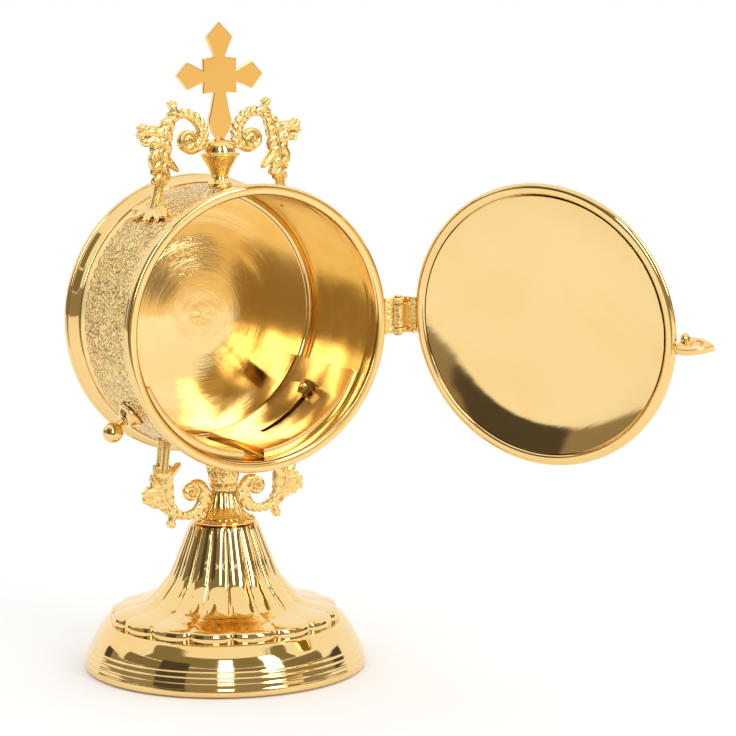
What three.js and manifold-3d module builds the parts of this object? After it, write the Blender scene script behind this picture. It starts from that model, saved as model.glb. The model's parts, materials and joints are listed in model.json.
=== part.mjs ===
// Standing luna: a round gilt drum with a hinged door, on a fluted foot, crowned by a cross.
// Millimetres, +Z up. The drum's door faces -Y and its hinge is on the +X side.
import * as THREE from 'three';
import { mergeVertices } from 'three/addons/utils/BufferGeometryUtils.js';
import Module from 'manifold-3d';

const wasm = await Module();
wasm.setup();

// Clearances
const SEAT_GAP = 0.3;        // between a piece and the curved or cut face that carries it
const STUD_GAP = 0.3;        // round a stud, rod or pin in its hole

// Foot and stem, heights above the table
const FOOT_R = 50;
const FOOT_H = 17.2;         // flat flange that the fluted bell stands on
const FOOT_WALL = 1.3;
const BELL_H = 34.5;
const HEM_INSET = 9;         // from the rolled rim in to the bell's hem
const BELL_TOP_R = 12.2;
const BELL_WALL = 1.3;
const BELL_LOBES = 16;
const LOBE_DEPTH = 1.7;      // depth of the creases at the hem
const BEAD_R = 11.3;
const BEAD_H = 2.1;
const NECK_H = 10.4;
const NECK_TOP_R = 4.5;
const NECK_FOOT_R = 9.2;
const NECK_LOBES = 12;
const NECK_CREASE = 0.45;
const COLLAR_R = 5.3;
const COLLAR_H = 1.6;
const SADDLE_FOOT_R = 4.9;
const SADDLE_TOP_R = 7.2;
const SADDLE_H = 11;         // under the middle of the band
const SADDLE_HORN = 1.5;     // how far its sides climb the band
const ROD_R = 2;
const ROD_BELOW_BELL = 8;    // length of rod under the bell's top plate
const ROD_IN_SADDLE = 8;
const TIE_NUT_FLATS = 7;
const TIE_NUT_H = 3;
const TIE_WASHER_R = 6;
const TIE_WASHER_H = 1;

// Drum, about an axis along Y
const BAND_R = 47.2;
const RING_PROUD = 2.8;      // rings stand out from the band
const BAND_WALL = 1.2;
const DRUM_FRONT = -29.75;
const DRUM_BACK = 24.3;
const BACK_PLATE_DEPTH = 6.3; // plate's face, in from the drum's back
const PLATE_LIP = 2.2;       // rear ring's lip behind the plate
const BACK_PLATE_T = 1.4;
const FRONT_RING_W = 7;      // width of the front ring before its skirt
const REAR_RING_W = 6.7;
const SKIRT_LAP = 2.2;       // how far each ring's skirt laps the band
const SKIRT_T = 0.7;

// Cradle leaves inside the drum and the ball-headed screws that clamp them
const LEAF_STANDOFF = 3;     // from the band's inner wall to the leaf's inner face
const LEAF_T = 0.8;
const LEAF_SETBACK = 5.75;   // behind the drum's front
const LEAF_LOW = -85;        // degrees round the drum from +X, right-hand leaf
const LEAF_HIGH = -24;
const SLOT_LOW = -69;
const SCREW_ANGLE = -39.5;
const SCREW_Y = -2.5;
const STUD_R = 1.5;
const SCREW_COLLAR_R = 5.2;
const SCREW_COLLAR_TOP_R = 3;
const SCREW_COLLAR_H = 4.4;
const BALL_R = 3.8;
const BALL_STANDOFF = 9.4;   // ball's centre from the band
const NUT_R = 3.4;
const NUT_H = 2.6;
const SPACER_R = 3;

// Door, hinge and pull tab; the door is drawn shut and then swung open
const DOOR_GAP = 0.3;
const DOOR_INSET = 0.2;      // door's edge, in from the ring's
const DOOR_RIM_W = 3.9;
const DOOR_WELL = 3;         // depth of the polished floor below the rim
const RIM_T = 3.3;
const DISH_LAP = 1.7;
const DISH_T = 1.3;
const OPEN_ANGLE = 120.8;    // how far the door stands open
const HINGE_OUT = 5.3;       // pin's distance from the ring's edge
const HINGE_BACK = 1.65;     // and behind the drum's front
const HINGE_RISE = 1.1;      // hinge centre above the drum's axis
const HINGE_LEAN_FRONT = 3.14;
const HINGE_LEAN_IN = 1.83;
const HINGE_H = 12.8;
const HINGE_MIDDLE = 8.2;
const KNUCKLE_R = 2.3;
const KNUCKLE_GAP = 0.3;
const PIN_R = 0.9;
const PIN_HEAD_R = 1.5;
const PIN_HEAD_H = 0.4;
const HINGE_PLATE_T = 1.2;
const TAB_REACH = 13.2;
const TAB_HALF_W = 5.2;
const TAB_T = 2.3;
const TAB_HOLE_R = 2.5;
const TAB_DROP = 3.9;        // its middle below the drum's axis
const TAB_ROOT = 3;          // half width at the door's edge
const TAB_TILT = 15;         // its inner edge leans down
const TAB_SETBACK = 0.6;     // away from the drum, off the rim's middle
const LUG_R = 1.6;

// Crown
const URN_H = 16.7;
const URN_RIM_R = 7.3;
const URN_DOME_R = 5.3;
const URN_WAIST_R = 3.1;
const URN_FOOT_R = 4.3;
const CROSS_T = 1.7;
const CROSS_H = 40.2;
const CROSS_PEG_R = 1.1;
const CROSS_PEG_L = 4;
const SCROLL_DEPTH = 1.9;    // half the thickness of the cast scrolls, front to back
const UPPER_RISE = 30;       // an upper scroll's height over the band
const LOWER_DROP = 25;       // a lower scroll's height under the band
const SPRAY_T = 1.2;         // half the thickness of the leafy foot on the band

// Facets round a full turn
const FINE = 32;
const MIDDLE = 16;
const SCREW_FACETS = 14;
const SMALL = 12;

const BAND_INNER_R = BAND_R - BAND_WALL;
const RING_R = BAND_R + RING_PROUD;
const LEAF_R = BAND_INNER_R - LEAF_STANDOFF;
const LEAF_FRONT = DRUM_FRONT + LEAF_SETBACK;
const BACK_PLATE_FACE = DRUM_BACK - BACK_PLATE_DEPTH;
const BALL_AT = BAND_R + BALL_STANDOFF;
const DOOR_R = RING_R - DOOR_INSET;
const DOOR_WELL_R = DOOR_R - DOOR_RIM_W;
const HINGE_X = RING_R + HINGE_OUT;
const HINGE_Y = DRUM_FRONT + HINGE_BACK;
const BELL_TOP = FOOT_H + BELL_H;
const BELL_HEM_R = FOOT_R - HEM_INSET;
const BEAD_TOP = BELL_TOP + BEAD_H;
const NECK_TOP = BEAD_TOP + NECK_H;
const COLLAR_TOP = NECK_TOP + COLLAR_H;
const DRUM_Z = COLLAR_TOP + SADDLE_H + BAND_R;
const CUT_REACH = 2 * (DRUM_BACK - DRUM_FRONT);
const HOLE_REACH = 2 * (LEAF_STANDOFF + BAND_WALL);
const ROD_HOLE_R = ROD_R + STUD_GAP;
const BAND_FRONT = DRUM_FRONT + FRONT_RING_W;
const BAND_BACK = DRUM_BACK - REAR_RING_W;
const SEAT_R = BAND_R + SEAT_GAP;
const URN_FOOT = DRUM_Z + BAND_R;
const URN_TOP = URN_FOOT + URN_H;
const RAD = Math.PI / 180;

const gilt = { color: 0xe3b557, metalness: 1, roughness: 0.18 };
const gold = () => new THREE.MeshStandardMaterial(gilt);
const castGold = () => new THREE.MeshStandardMaterial({ ...gilt, color: 0xdba94c, roughness: 0.42 });
const mirror = () => new THREE.MeshStandardMaterial({ ...gilt, color: 0xeccb85, roughness: 0.06 });

// Closed meshes and their joins

function welded(source) {
  let geometry = source.clone();
  geometry.deleteAttribute('normal');
  geometry.deleteAttribute('uv');
  geometry = mergeVertices(geometry, 1e-4);
  const at = geometry.attributes.position;
  const index = geometry.index.array;
  const kept = [];
  let volume = 0;
  const [a, b, c] = [new THREE.Vector3(), new THREE.Vector3(), new THREE.Vector3()];
  for (let i = 0; i < index.length; i += 3) {
    const [p, q, r] = [index[i], index[i + 1], index[i + 2]];
    if (p === q || q === r || p === r) continue;
    kept.push(p, q, r);
    const side = b.fromBufferAttribute(at, q).cross(c.fromBufferAttribute(at, r));
    volume += a.fromBufferAttribute(at, p).dot(side);
  }
  if (volume < 0) kept.reverse();
  geometry.setIndex(kept);
  return geometry;
}

function solid(geometry) {
  const closed = welded(geometry);
  return new wasm.Manifold(new wasm.Mesh({
    numProp: 3,
    vertProperties: Float32Array.from(closed.attributes.position.array),
    triVerts: Uint32Array.from(closed.index.array),
  }));
}

function shapeOf(manifold) {
  const mesh = manifold.getMesh();
  const geometry = new THREE.BufferGeometry();
  geometry.setAttribute('position', new THREE.BufferAttribute(mesh.vertProperties, 3));
  geometry.setIndex(new THREE.BufferAttribute(mesh.triVerts, 1));
  return geometry;
}

const joined = (parts) => parts.map(solid).reduce((whole, part) => whole.add(part));
const cut = (body, tools) => shapeOf(tools.map(solid).reduce((rest, tool) => rest.subtract(tool), body));

// A profile of [radius, height] pairs turned round Y, or round Z
const turnedY = (profile, facets) =>
  new THREE.LatheGeometry(profile.map(([r, h]) => new THREE.Vector2(r, h)), facets);
const turnedZ = (profile, facets) => turnedY(profile, facets).rotateX(Math.PI / 2).scale(1, -1, 1);
const loop = (profile) => [...profile, profile[0]];

// A straight cylinder along Z, Y or any direction from a point
function rodAlong(radius, length, facets, from, direction) {
  const turn = new THREE.Quaternion().setFromUnitVectors(new THREE.Vector3(0, 1, 0), direction);
  return new THREE.CylinderGeometry(radius, radius, length, facets)
    .translate(0, length / 2, 0).applyQuaternion(turn).translate(from.x, from.y, from.z);
}

// Rings of points joined side by side; a ring of one point is a pole
function skinned(rings, closes) {
  const count = Math.max(...rings.map((ring) => ring.length));
  const points = [];
  const rows = rings.map((ring) => ring.map((p) => points.push(p.x, p.y, p.z) / 3 - 1));
  const faces = [];
  const last = closes ? rows.length : rows.length - 1;
  for (let i = 0; i < last; i++) {
    const [low, high] = [rows[i], rows[(i + 1) % rows.length]];
    for (let j = 0; j < count; j++) {
      const [a, b] = [low[j % low.length], low[(j + 1) % count % low.length]];
      const [c, d] = [high[j % high.length], high[(j + 1) % count % high.length]];
      if (a !== b) faces.push(a, b, d);
      if (c !== d) faces.push(a, d, c);
    }
  }
  const geometry = new THREE.BufferGeometry();
  geometry.setAttribute('position', new THREE.Float32BufferAttribute(points, 3));
  geometry.setIndex(faces);
  return geometry;
}

// A cast member swept along a curve: each stop is [x, y, z, half width]
function member(stops, depth, across, rings, sides) {
  const curve = new THREE.CatmullRomCurve3(stops.map(([x, y, z]) => new THREE.Vector3(x, y, z)));
  const skins = [];
  const centre = new THREE.Vector3();
  const tangent = new THREE.Vector3();
  const side = new THREE.Vector3();
  for (let i = 0; i <= rings; i++) {
    const t = i / rings;
    const stop = t * (stops.length - 1);
    const near = Math.min(Math.floor(stop), stops.length - 2);
    const half = THREE.MathUtils.lerp(stops[near][3], stops[near + 1][3], stop - near);
    curve.getPoint(t, centre);
    curve.getTangent(t, tangent);
    side.crossVectors(tangent, across).normalize();
    skins.push(Array.from({ length: sides }, (_, j) => {
      const turn = 2 * Math.PI * j / sides;
      return centre.clone().addScaledVector(side, half * Math.cos(turn))
        .addScaledVector(across, Math.min(depth, half * 1.3) * Math.sin(turn));
    }));
  }
  const tip = (at) => [curve.getPoint(at)];
  return skinned([tip(0), ...skins, tip(1)], false);
}

const alongY = new THREE.Vector3(0, 1, 0);
const flat = (stops, rings, depth, sides) =>
  member(stops.map(([x, z, half]) => [x, 0, z, half]), depth, alongY, rings, sides);

// Fluted shells: convex lobes that meet in creases
function flutedRing(radius, height, lobes, crease, perLobe) {
  return Array.from({ length: lobes * perLobe }, (_, i) => {
    const turn = 2 * Math.PI * i / (lobes * perLobe);
    const dip = 1 - Math.sqrt(Math.abs(Math.sin(turn * lobes / 2)));
    const r = radius - crease * dip;
    return new THREE.Vector3(r * Math.cos(turn), r * Math.sin(turn), height);
  });
}

function fluted(profile, lobes, perLobe) {
  return skinned(profile.map(([r, h, crease]) => flutedRing(r, h, lobes, crease, perLobe)), true);
}

// Foot

function footBase() {
  const wall = FOOT_WALL;
  return turnedZ(loop([
    [BELL_HEM_R - 4, FOOT_H], [BELL_HEM_R + 1.1, FOOT_H], [BELL_HEM_R + 2.1, FOOT_H - 0.6],
    [FOOT_R - 5.5, FOOT_H - 2.6], [FOOT_R - 4.1, FOOT_H - 4.6], [FOOT_R - 2.9, FOOT_H - 7.4],
    [FOOT_R - 2.7, 9], [FOOT_R - 2.1, 8.6], [FOOT_R - 1.8, 7.2], [FOOT_R - 1.3, 6.8],
    [FOOT_R - 0.8, 5.4], [FOOT_R - 0.4, 5], [FOOT_R, 3.8], [FOOT_R - 0.1, 2.4], [FOOT_R - 1, 1],
    [FOOT_R - 2.6, 0.35], [FOOT_R - 4.2, 0], [FOOT_R - 6.6, 0], [FOOT_R - 3.1 - wall, 5],
    [FOOT_R - 5.6 - wall, FOOT_H - 4.4], [BELL_HEM_R + 0.6, FOOT_H - wall], [BELL_HEM_R - 4, FOOT_H - wall],
  ]), FINE);
}

// The bell sweeps out from its top plate to a scalloped hem
function footBell() {
  const drop = BELL_TOP - FOOT_H;
  const spread = BELL_HEM_R - BELL_TOP_R;
  const sweep = [
    [0, 0], [0.108, 0.232], [0.198, 0.423], [0.267, 0.548], [0.351, 0.64],
    [0.431, 0.719], [0.545, 0.806], [0.694, 0.849], [0.861, 0.875], [0.979, 0.91], [1, 1],
  ];
  const crease = (share) => LOBE_DEPTH * (0.25 + 0.75 * share);
  const outer = sweep.map(([out, down]) => [BELL_TOP_R + spread * out, BELL_TOP - drop * down, crease(out)]);
  const top = BELL_TOP - BELL_WALL;
  const inner = outer.slice(0, -1).filter((_, i) => i % 2 === 0).reverse()
    .map(([r, h, depth]) => [r - BELL_WALL, Math.min(h - BELL_WALL / 2, top), depth]);
  inner.unshift([BELL_HEM_R - BELL_WALL, FOOT_H, LOBE_DEPTH]);
  return fluted([[ROD_HOLE_R, BELL_TOP, 0], ...outer, ...inner, [ROD_HOLE_R, top, 0]], BELL_LOBES, 3);
}

function beadRing(bottom, radius, height) {
  return turnedZ(loop([
    [ROD_HOLE_R, bottom], [radius - 0.9, bottom], [radius - 0.25, bottom + height * 0.2],
    [radius, bottom + height / 2], [radius - 0.25, bottom + height * 0.8],
    [radius - 0.9, bottom + height], [ROD_HOLE_R, bottom + height],
  ]), MIDDLE);
}

// Radius of the neck at a share of its height, from its spread foot up
const neckProfile = [[0, 1], [0.07, 0.87], [0.2, 0.57], [0.39, 0.32], [0.64, 0.13], [0.9, 0], [1, 0]];
const neckAt = (clearance) => neckProfile.map(([up, out]) =>
  [NECK_TOP_R + (NECK_FOOT_R - NECK_TOP_R) * out + clearance, BEAD_TOP + NECK_H * up]);

function neck() {
  const outer = neckAt(0).map(([r, h]) => [r, h, NECK_CREASE]);
  return fluted([[ROD_HOLE_R, BEAD_TOP, 0], ...outer, [ROD_HOLE_R, NECK_TOP, 0]], NECK_LOBES, 3);
}

// The drum's cylinder with its clearance, used to seat what stands on or hangs under the band
const cylinderY = (radius) =>
  turnedY([[0, -CUT_REACH], [radius, -CUT_REACH], [radius, CUT_REACH], [0, CUT_REACH]], 2 * FINE)
    .translate(0, 0, DRUM_Z);
const drumBody = () => cylinderY(SEAT_R);

function drumSaddle() {
  const top = DRUM_Z - BAND_R + SADDLE_HORN;
  const rise = top - COLLAR_TOP;
  const block = solid(turnedZ([
    [0, COLLAR_TOP], [SADDLE_FOOT_R, COLLAR_TOP], [SADDLE_FOOT_R + 0.3, COLLAR_TOP + rise * 0.1],
    [SADDLE_FOOT_R + 0.8, COLLAR_TOP + rise * 0.4], [SADDLE_TOP_R - 0.6, COLLAR_TOP + rise * 0.75],
    [SADDLE_TOP_R, top], [0, top],
  ], MIDDLE));
  const bore = rodAlong(ROD_HOLE_R, ROD_IN_SADDLE + 2, SMALL,
    new THREE.Vector3(0, 0, COLLAR_TOP - 1.5), new THREE.Vector3(0, 0, 1));
  return cut(block, [drumBody(), bore]);
}

function tieRod() {
  const bottom = BELL_TOP - BELL_WALL - ROD_BELOW_BELL;
  return rodAlong(ROD_R, COLLAR_TOP + ROD_IN_SADDLE - bottom, SMALL,
    new THREE.Vector3(0, 0, bottom), new THREE.Vector3(0, 0, 1));
}

function tieRing(radius, top, height, facets) {
  const outline = [[ROD_HOLE_R, top - height], [radius, top - height], [radius, top], [ROD_HOLE_R, top]];
  return turnedZ(loop(outline), facets);
}

// Drum

const onDrum = (radius, angle, y) => new THREE.Vector3(
  radius * Math.cos(angle * RAD), y, DRUM_Z + radius * Math.sin(angle * RAD));
const outward = (angle) => new THREE.Vector3(Math.cos(angle * RAD), 0, Math.sin(angle * RAD));
const screwSides = { right: SCREW_ANGLE, left: 180 - SCREW_ANGLE };

function drumBand() {
  const hoop = solid(turnedY(loop([
    [BAND_INNER_R, BAND_FRONT], [BAND_R, BAND_FRONT], [BAND_R, BAND_BACK], [BAND_INNER_R, BAND_BACK],
  ]), FINE).translate(0, 0, DRUM_Z));
  return cut(hoop, Object.values(screwSides).map((angle) =>
    rodAlong(STUD_R + STUD_GAP, HOLE_REACH, SMALL, onDrum(LEAF_R, angle, SCREW_Y), outward(angle))));
}

function frontRing() {
  const back = BAND_FRONT - SEAT_GAP;
  const skirt = BAND_R + SEAT_GAP;
  return turnedY(loop([
    [BAND_INNER_R, back], [BAND_INNER_R, DRUM_FRONT + 0.9],
    [BAND_INNER_R + 1.2, DRUM_FRONT], [RING_R - 1, DRUM_FRONT], [RING_R - 0.2, DRUM_FRONT + 0.6],
    [RING_R, DRUM_FRONT + 1.6], [RING_R - 0.3, DRUM_FRONT + 2.8], [RING_R - 1.2, DRUM_FRONT + 3.6],
    [RING_R - 0.8, DRUM_FRONT + 5.7], [skirt + SKIRT_T, back + 0.4],
    [skirt + SKIRT_T, back + SKIRT_LAP], [skirt, back + SKIRT_LAP], [skirt, back],
  ]), FINE).translate(0, 0, DRUM_Z);
}

// The rear ring has a rabbet for the back plate
function rearRing() {
  const front = BAND_BACK + SEAT_GAP;
  const skirt = BAND_R + SEAT_GAP;
  const seat = BACK_PLATE_FACE + BACK_PLATE_T;
  return turnedY(loop([
    [BAND_INNER_R, front], [skirt, front], [skirt, front - SKIRT_LAP], [skirt + SKIRT_T, front - SKIRT_LAP],
    [skirt + SKIRT_T, front + 0.6], [RING_R - 1.1, front + 1.6], [RING_R - 0.4, DRUM_BACK - 3.6],
    [RING_R, DRUM_BACK - 1.6], [RING_R - 1.1, DRUM_BACK],
    [BAND_INNER_R - PLATE_LIP + 0.6, DRUM_BACK], [BAND_INNER_R - PLATE_LIP, DRUM_BACK - 0.8],
    [BAND_INNER_R - PLATE_LIP, seat], [BAND_INNER_R, seat],
  ]), FINE).translate(0, 0, DRUM_Z);
}

// A polished plate with a shallow turned groove
function backPlate() {
  const edge = BAND_INNER_R - SEAT_GAP;
  const groove = edge * 0.8;
  const back = BACK_PLATE_FACE + BACK_PLATE_T;
  return turnedY([
    [0, BACK_PLATE_FACE], [groove - 0.5, BACK_PLATE_FACE], [groove, BACK_PLATE_FACE + 0.35],
    [groove + 0.5, BACK_PLATE_FACE], [edge, BACK_PLATE_FACE], [edge, back], [0, back],
  ], FINE).translate(0, 0, DRUM_Z);
}

// Cradle leaf: a curved sheet with a slot that rides on the clamping screw
function cradleLeaf(side) {
  const back = BACK_PLATE_FACE - 2 * SEAT_GAP;
  const steps = 10;
  const rings = Array.from({ length: steps + 1 }, (_, i) => {
    const angle = THREE.MathUtils.lerp(LEAF_LOW, LEAF_HIGH, i / steps);
    return [[LEAF_R, LEAF_FRONT], [LEAF_R + LEAF_T, LEAF_FRONT], [LEAF_R + LEAF_T, back], [LEAF_R, back]]
      .map(([r, y]) => onDrum(r, angle, y));
  });
  const total = (ring) => ring.reduce((sum, p) => sum.add(p), new THREE.Vector3());
  const middle = (ring) => [total(ring).divideScalar(ring.length)];
  const sheet = solid(skinned([middle(rings[0]), ...rings, middle(rings[steps])], false));
  const slotSteps = 6;
  const slotRings = Array.from({ length: slotSteps + 1 }, (_, i) => {
    const angle = THREE.MathUtils.lerp(SLOT_LOW, SCREW_ANGLE, i / slotSteps);
    const half = STUD_R + STUD_GAP;
    return [[-LEAF_T, -half], [2 * LEAF_T, -half], [2 * LEAF_T, half], [-LEAF_T, half]]
      .map(([r, y]) => onDrum(LEAF_R + r, angle, SCREW_Y + y));
  });
  const slot = skinned([middle(slotRings[0]), ...slotRings, middle(slotRings[slotSteps])], false);
  const ends = [SLOT_LOW, SCREW_ANGLE].map((angle) =>
    rodAlong(STUD_R + STUD_GAP, 3 * LEAF_T, SMALL, onDrum(LEAF_R - LEAF_T, angle, SCREW_Y), outward(angle)));
  return sided(cut(sheet, [slot, ...ends]), side);
}

// A right-hand piece, or its mirror image
const sided = (geometry, side) => (side === 'left' ? geometry.clone().scale(-1, 1, 1) : geometry);

// Ball-headed screw: a stud with a waisted neck under its ball, drawn along Z from the drum's axis
function turnedOnScrew(profile, facets, side) {
  const turn = new THREE.Quaternion().setFromUnitVectors(new THREE.Vector3(0, 0, 1), outward(SCREW_ANGLE));
  return sided(turnedZ(profile, facets).applyQuaternion(turn).translate(0, SCREW_Y, DRUM_Z), side);
}

function knob(side) {
  const collarTop = BAND_R + SEAT_GAP + SCREW_COLLAR_H;
  const steps = 8;
  const arc = Array.from({ length: steps + 1 }, (_, i) => {
    const turn = (-62 + 152 * i / steps) * RAD;
    return [i === steps ? 0 : BALL_R * Math.cos(turn), BALL_AT + BALL_R * Math.sin(turn)];
  });
  const nutIn = LEAF_R - SEAT_GAP - NUT_H;
  return turnedOnScrew([[0, nutIn - 1], [STUD_R - 0.3, nutIn - 1], [STUD_R, nutIn - 0.7],
    [STUD_R, collarTop - 0.5], ...arc.slice(1)], SCREW_FACETS, side);
}

function screwCollar(side) {
  const foot = BAND_R + SEAT_GAP;
  const hole = STUD_R + STUD_GAP;
  const cone = solid(turnedOnScrew(loop([
    [hole, foot - 1], [SCREW_COLLAR_R, foot - 1], [SCREW_COLLAR_R, foot + 0.6],
    [SCREW_COLLAR_R - 0.5, foot + 1.1], [SCREW_COLLAR_TOP_R + 0.4, foot + SCREW_COLLAR_H - 1.5],
    [SCREW_COLLAR_TOP_R, foot + SCREW_COLLAR_H - 1], [hole, foot + SCREW_COLLAR_H - 1],
  ]), SCREW_FACETS, side));
  return cut(cone, [drumBody()]);
}

function ringOnScrew(radius, from, height, facets, side) {
  const hole = STUD_R + STUD_GAP;
  return turnedOnScrew(loop([[hole, from], [radius, from], [radius, from + height], [hole, from + height]]),
    facets, side);
}

// Scrolls, right-hand ones: [x, height over or drop under the band, half width] along each cast member, in
// shares of the scroll's own height

const upperArch = [
  [0.4533, 0.5334, 0.04], [0.3733, 0.4683, 0.0533], [0.28, 0.4851, 0.06],
  [0.22, 0.5688, 0.0633], [0.2233, 0.6826, 0.06],
  [0.2867, 0.8063, 0.0567], [0.4, 0.905, 0.0533], [0.52, 0.9517, 0.05],
  [0.6167, 0.9326, 0.06], [0.6867, 0.8578, 0.08],
  [0.74, 0.7582, 0.1], [0.7733, 0.6298, 0.1033], [0.78, 0.4836, 0.0933],
  [0.7733, 0.3298, 0.07], [0.79, 0.206, 0.0567],
  [0.82, 0.1072, 0.0567], [0.86, -0.0108, 0.07], [0.8867, -0.0497, 0.07],
];
const upperEye = [0.42, 0.5804, 0.11];
const upperLeaves = [
  [[0.5533, 0.9438, 0.04], [0.5867, 1.0268, 0.0333], [0.6067, 1.095, 0.0433]],
  [[0.7, 0.791, 0.0533], [0.8533, 0.9182, 0.0567], [0.9667, 0.9987, 0.0533], [1.0333, 1.0869, 0.0233]],
  [[0.7333, 0.708, 0.0533], [0.8667, 0.8269, 0.0633], [0.9667, 0.872, 0.04]],
  [[0.7333, 0.5414, 0.0633], [0.6267, 0.4035, 0.0467], [0.54, 0.2822, 0.01]],
  [[0.7467, 0.4485, 0.0533], [0.69, 0.3327, 0.0333], [0.66, 0.2451, 0.01]],
];
const lowerArch = [
  [0.5, 0.5514, 0.032], [0.444, 0.573, 0.036], [0.508, 0.6656, 0.04],
  [0.6, 0.6499, 0.044], [0.612, 0.5579, 0.048],
  [0.512, 0.4547, 0.048], [0.376, 0.4458, 0.056], [0.296, 0.5513, 0.064],
  [0.308, 0.7293, 0.064], [0.408, 0.8686, 0.052],
  [0.536, 0.9337, 0.044], [0.68, 0.9747, 0.044], [0.796, 0.968, 0.056],
  [0.896, 0.8982, 0.096], [0.984, 0.8207, 0.136],
  [0.992, 0.6736, 0.108], [0.968, 0.499, 0.092], [0.948, 0.3033, 0.096],
  [0.924, 0.1136, 0.1], [0.912, -0.0371, 0.1],
];
const lowerLeaves = [
  [[0.792, 0.9742, 0.044], [0.824, 1.0853, 0.04], [0.84, 1.1732, 0.052]],
  [[0.992, 0.7376, 0.064], [1.136, 0.82, 0.06], [1.248, 0.9593, 0.028]],
  [[0.984, 0.8527, 0.064], [1.12, 0.9641, 0.06], [1.232, 1.0574, 0.028]],
  [[0.92, 0.5353, 0.064], [0.792, 0.3742, 0.048], [0.676, 0.2052, 0.012]],
];
// Leafy spray on the band under each upper scroll: [degrees round the drum, y, half width]
const sprayLobes = [
  [[57, 0, 2.6], [56, -5, 3.4], [55, -10.5, 2.6], [54.5, -14, 0.8]],
  [[57, 0, 2.6], [56, 5, 3.2], [55.5, 10, 2.4], [55, 13, 0.7]],
  [[57, -1, 2.8], [53.5, -2.5, 3.4], [49, -5, 1]],
  [[56, 1, 2.4], [53, 3.5, 2.6], [50, 7, 0.8]],
];

function sprayLobe(stops) {
  return member(stops.map(([angle, y, half]) => {
    const at = onDrum(SEAT_R + 0.3, angle, y);
    return [at.x, at.y, at.z, half];
  }), SPRAY_T, outward(stops[1][0]), 3, 6);
}

const standing = (stops) => stops.map(([x, up, half]) => {
  const across = x * UPPER_RISE;
  return [across, DRUM_Z + Math.sqrt(BAND_R ** 2 - across ** 2) + up * UPPER_RISE, half * UPPER_RISE];
});
const hanging = (stops) => stops.map(([x, down, half]) => {
  const across = x * LOWER_DROP;
  return [across, DRUM_Z - Math.sqrt(BAND_R ** 2 - across ** 2) - down * LOWER_DROP, half * LOWER_DROP];
});

function scroll(arch, leaves, extra, clear, side) {
  const sprigs = leaves.map((stops) => flat(stops, 3, SCROLL_DEPTH * 0.8, 6));
  const parts = [flat(arch, 17, SCROLL_DEPTH, 6), ...sprigs, ...extra];
  return sided(cut(joined(parts), [drumBody(), clear]), side);
}

// The volute winds round a flat disc
function upperEyeDisc() {
  const [[across, height, radius]] = standing([upperEye]);
  return rodAlong(radius, 2 * SCROLL_DEPTH, SMALL, new THREE.Vector3(across, -SCROLL_DEPTH, height), alongY);
}

const upperScroll = (side) => scroll(standing(upperArch), upperLeaves.map(standing),
  [upperEyeDisc(), ...sprayLobes.map(sprayLobe)], turnedZ(urnProfile(SEAT_GAP), MIDDLE), side);
const lowerScroll = (side) => {
  const neckClear = neckAt(SEAT_GAP);
  return scroll(hanging(lowerArch), lowerLeaves.map(hanging), [],
    turnedZ([[0, BEAD_TOP], ...neckClear, [0, NECK_TOP]], MIDDLE), side);
};

// Crown

function urnProfile(clearance) {
  const up = (share) => URN_FOOT + URN_H * share;
  return [
    [0, URN_FOOT - 1.2 - clearance], [URN_FOOT_R, URN_FOOT - 1.2], [URN_FOOT_R, up(0.06)],
    [URN_WAIST_R + 0.3, up(0.14)], [URN_WAIST_R, up(0.2)], [URN_WAIST_R + 0.2, up(0.27)],
    [URN_WAIST_R + 1.2, up(0.4)], [URN_RIM_R - 1.6, up(0.53)], [URN_RIM_R - 0.3, up(0.63)],
    [URN_RIM_R, up(0.655)], [URN_RIM_R - 0.3, up(0.68)], [URN_DOME_R + 0.9, up(0.73)],
    [URN_DOME_R, up(0.8)], [URN_DOME_R - 1.5, up(0.92)], [URN_DOME_R - 3, up(1)], [0, up(1) + clearance],
  ].map(([r, h], i, all) => [i === 0 || i === all.length - 1 ? 0 : r + clearance, h]);
}

function finialUrn() {
  const peg = rodAlong(CROSS_PEG_R + STUD_GAP, CROSS_PEG_L + 2, SMALL,
    new THREE.Vector3(0, 0, URN_TOP - CROSS_PEG_L - STUD_GAP), new THREE.Vector3(0, 0, 1));
  return cut(solid(turnedZ(urnProfile(0), MIDDLE)), [drumBody(), peg]);
}

// Right half of the cross's outline, from its foot up to its tip, as [x, height] in shares of its height
function cross() {
  const h = CROSS_H;
  const half = [
    [0.05, 0], [0.085, 0.05], [0.107, 0.12], [0.108, 0.165], [0.09, 0.22], [0.055, 0.395],
    [0.16, 0.385], [0.157, 0.483], [0.31, 0.42], [0.415, 0.545], [0.31, 0.66], [0.157, 0.583],
    [0.16, 0.685], [0.048, 0.7], [0.125, 0.87], [0, 1],
  ].map(([x, z]) => [x * h, z * h]);
  const outline = [...half, ...half.slice(0, -1).reverse().map(([x, z]) => [-x, z])];
  const plate = new THREE.ExtrudeGeometry(new THREE.Shape(outline.map(([x, z]) => new THREE.Vector2(x, z))),
    { depth: CROSS_T, bevelEnabled: false });
  plate.translate(0, 0, -CROSS_T / 2).rotateX(Math.PI / 2).translate(0, 0, URN_TOP);
  const peg = rodAlong(CROSS_PEG_R, CROSS_PEG_L + 2, SMALL,
    new THREE.Vector3(0, 0, URN_TOP - CROSS_PEG_L), new THREE.Vector3(0, 0, 1));
  return shapeOf(joined([plate, peg]));
}

// Door, drawn shut

const SHUT = DRUM_FRONT - DOOR_GAP;

function doorRim() {
  const face = SHUT;
  return turnedY(loop([
    [DOOR_WELL_R, face - 0.5], [DOOR_WELL_R + 0.6, face], [DOOR_R - 1, face], [DOOR_R - 0.2, face - 0.5],
    [DOOR_R, face - 1.4], [DOOR_R - 0.4, face - RIM_T + 0.7], [DOOR_R - 1.4, face - RIM_T],
    [DOOR_WELL_R, face - RIM_T],
  ]), FINE).translate(0, 0, DRUM_Z);
}

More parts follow.
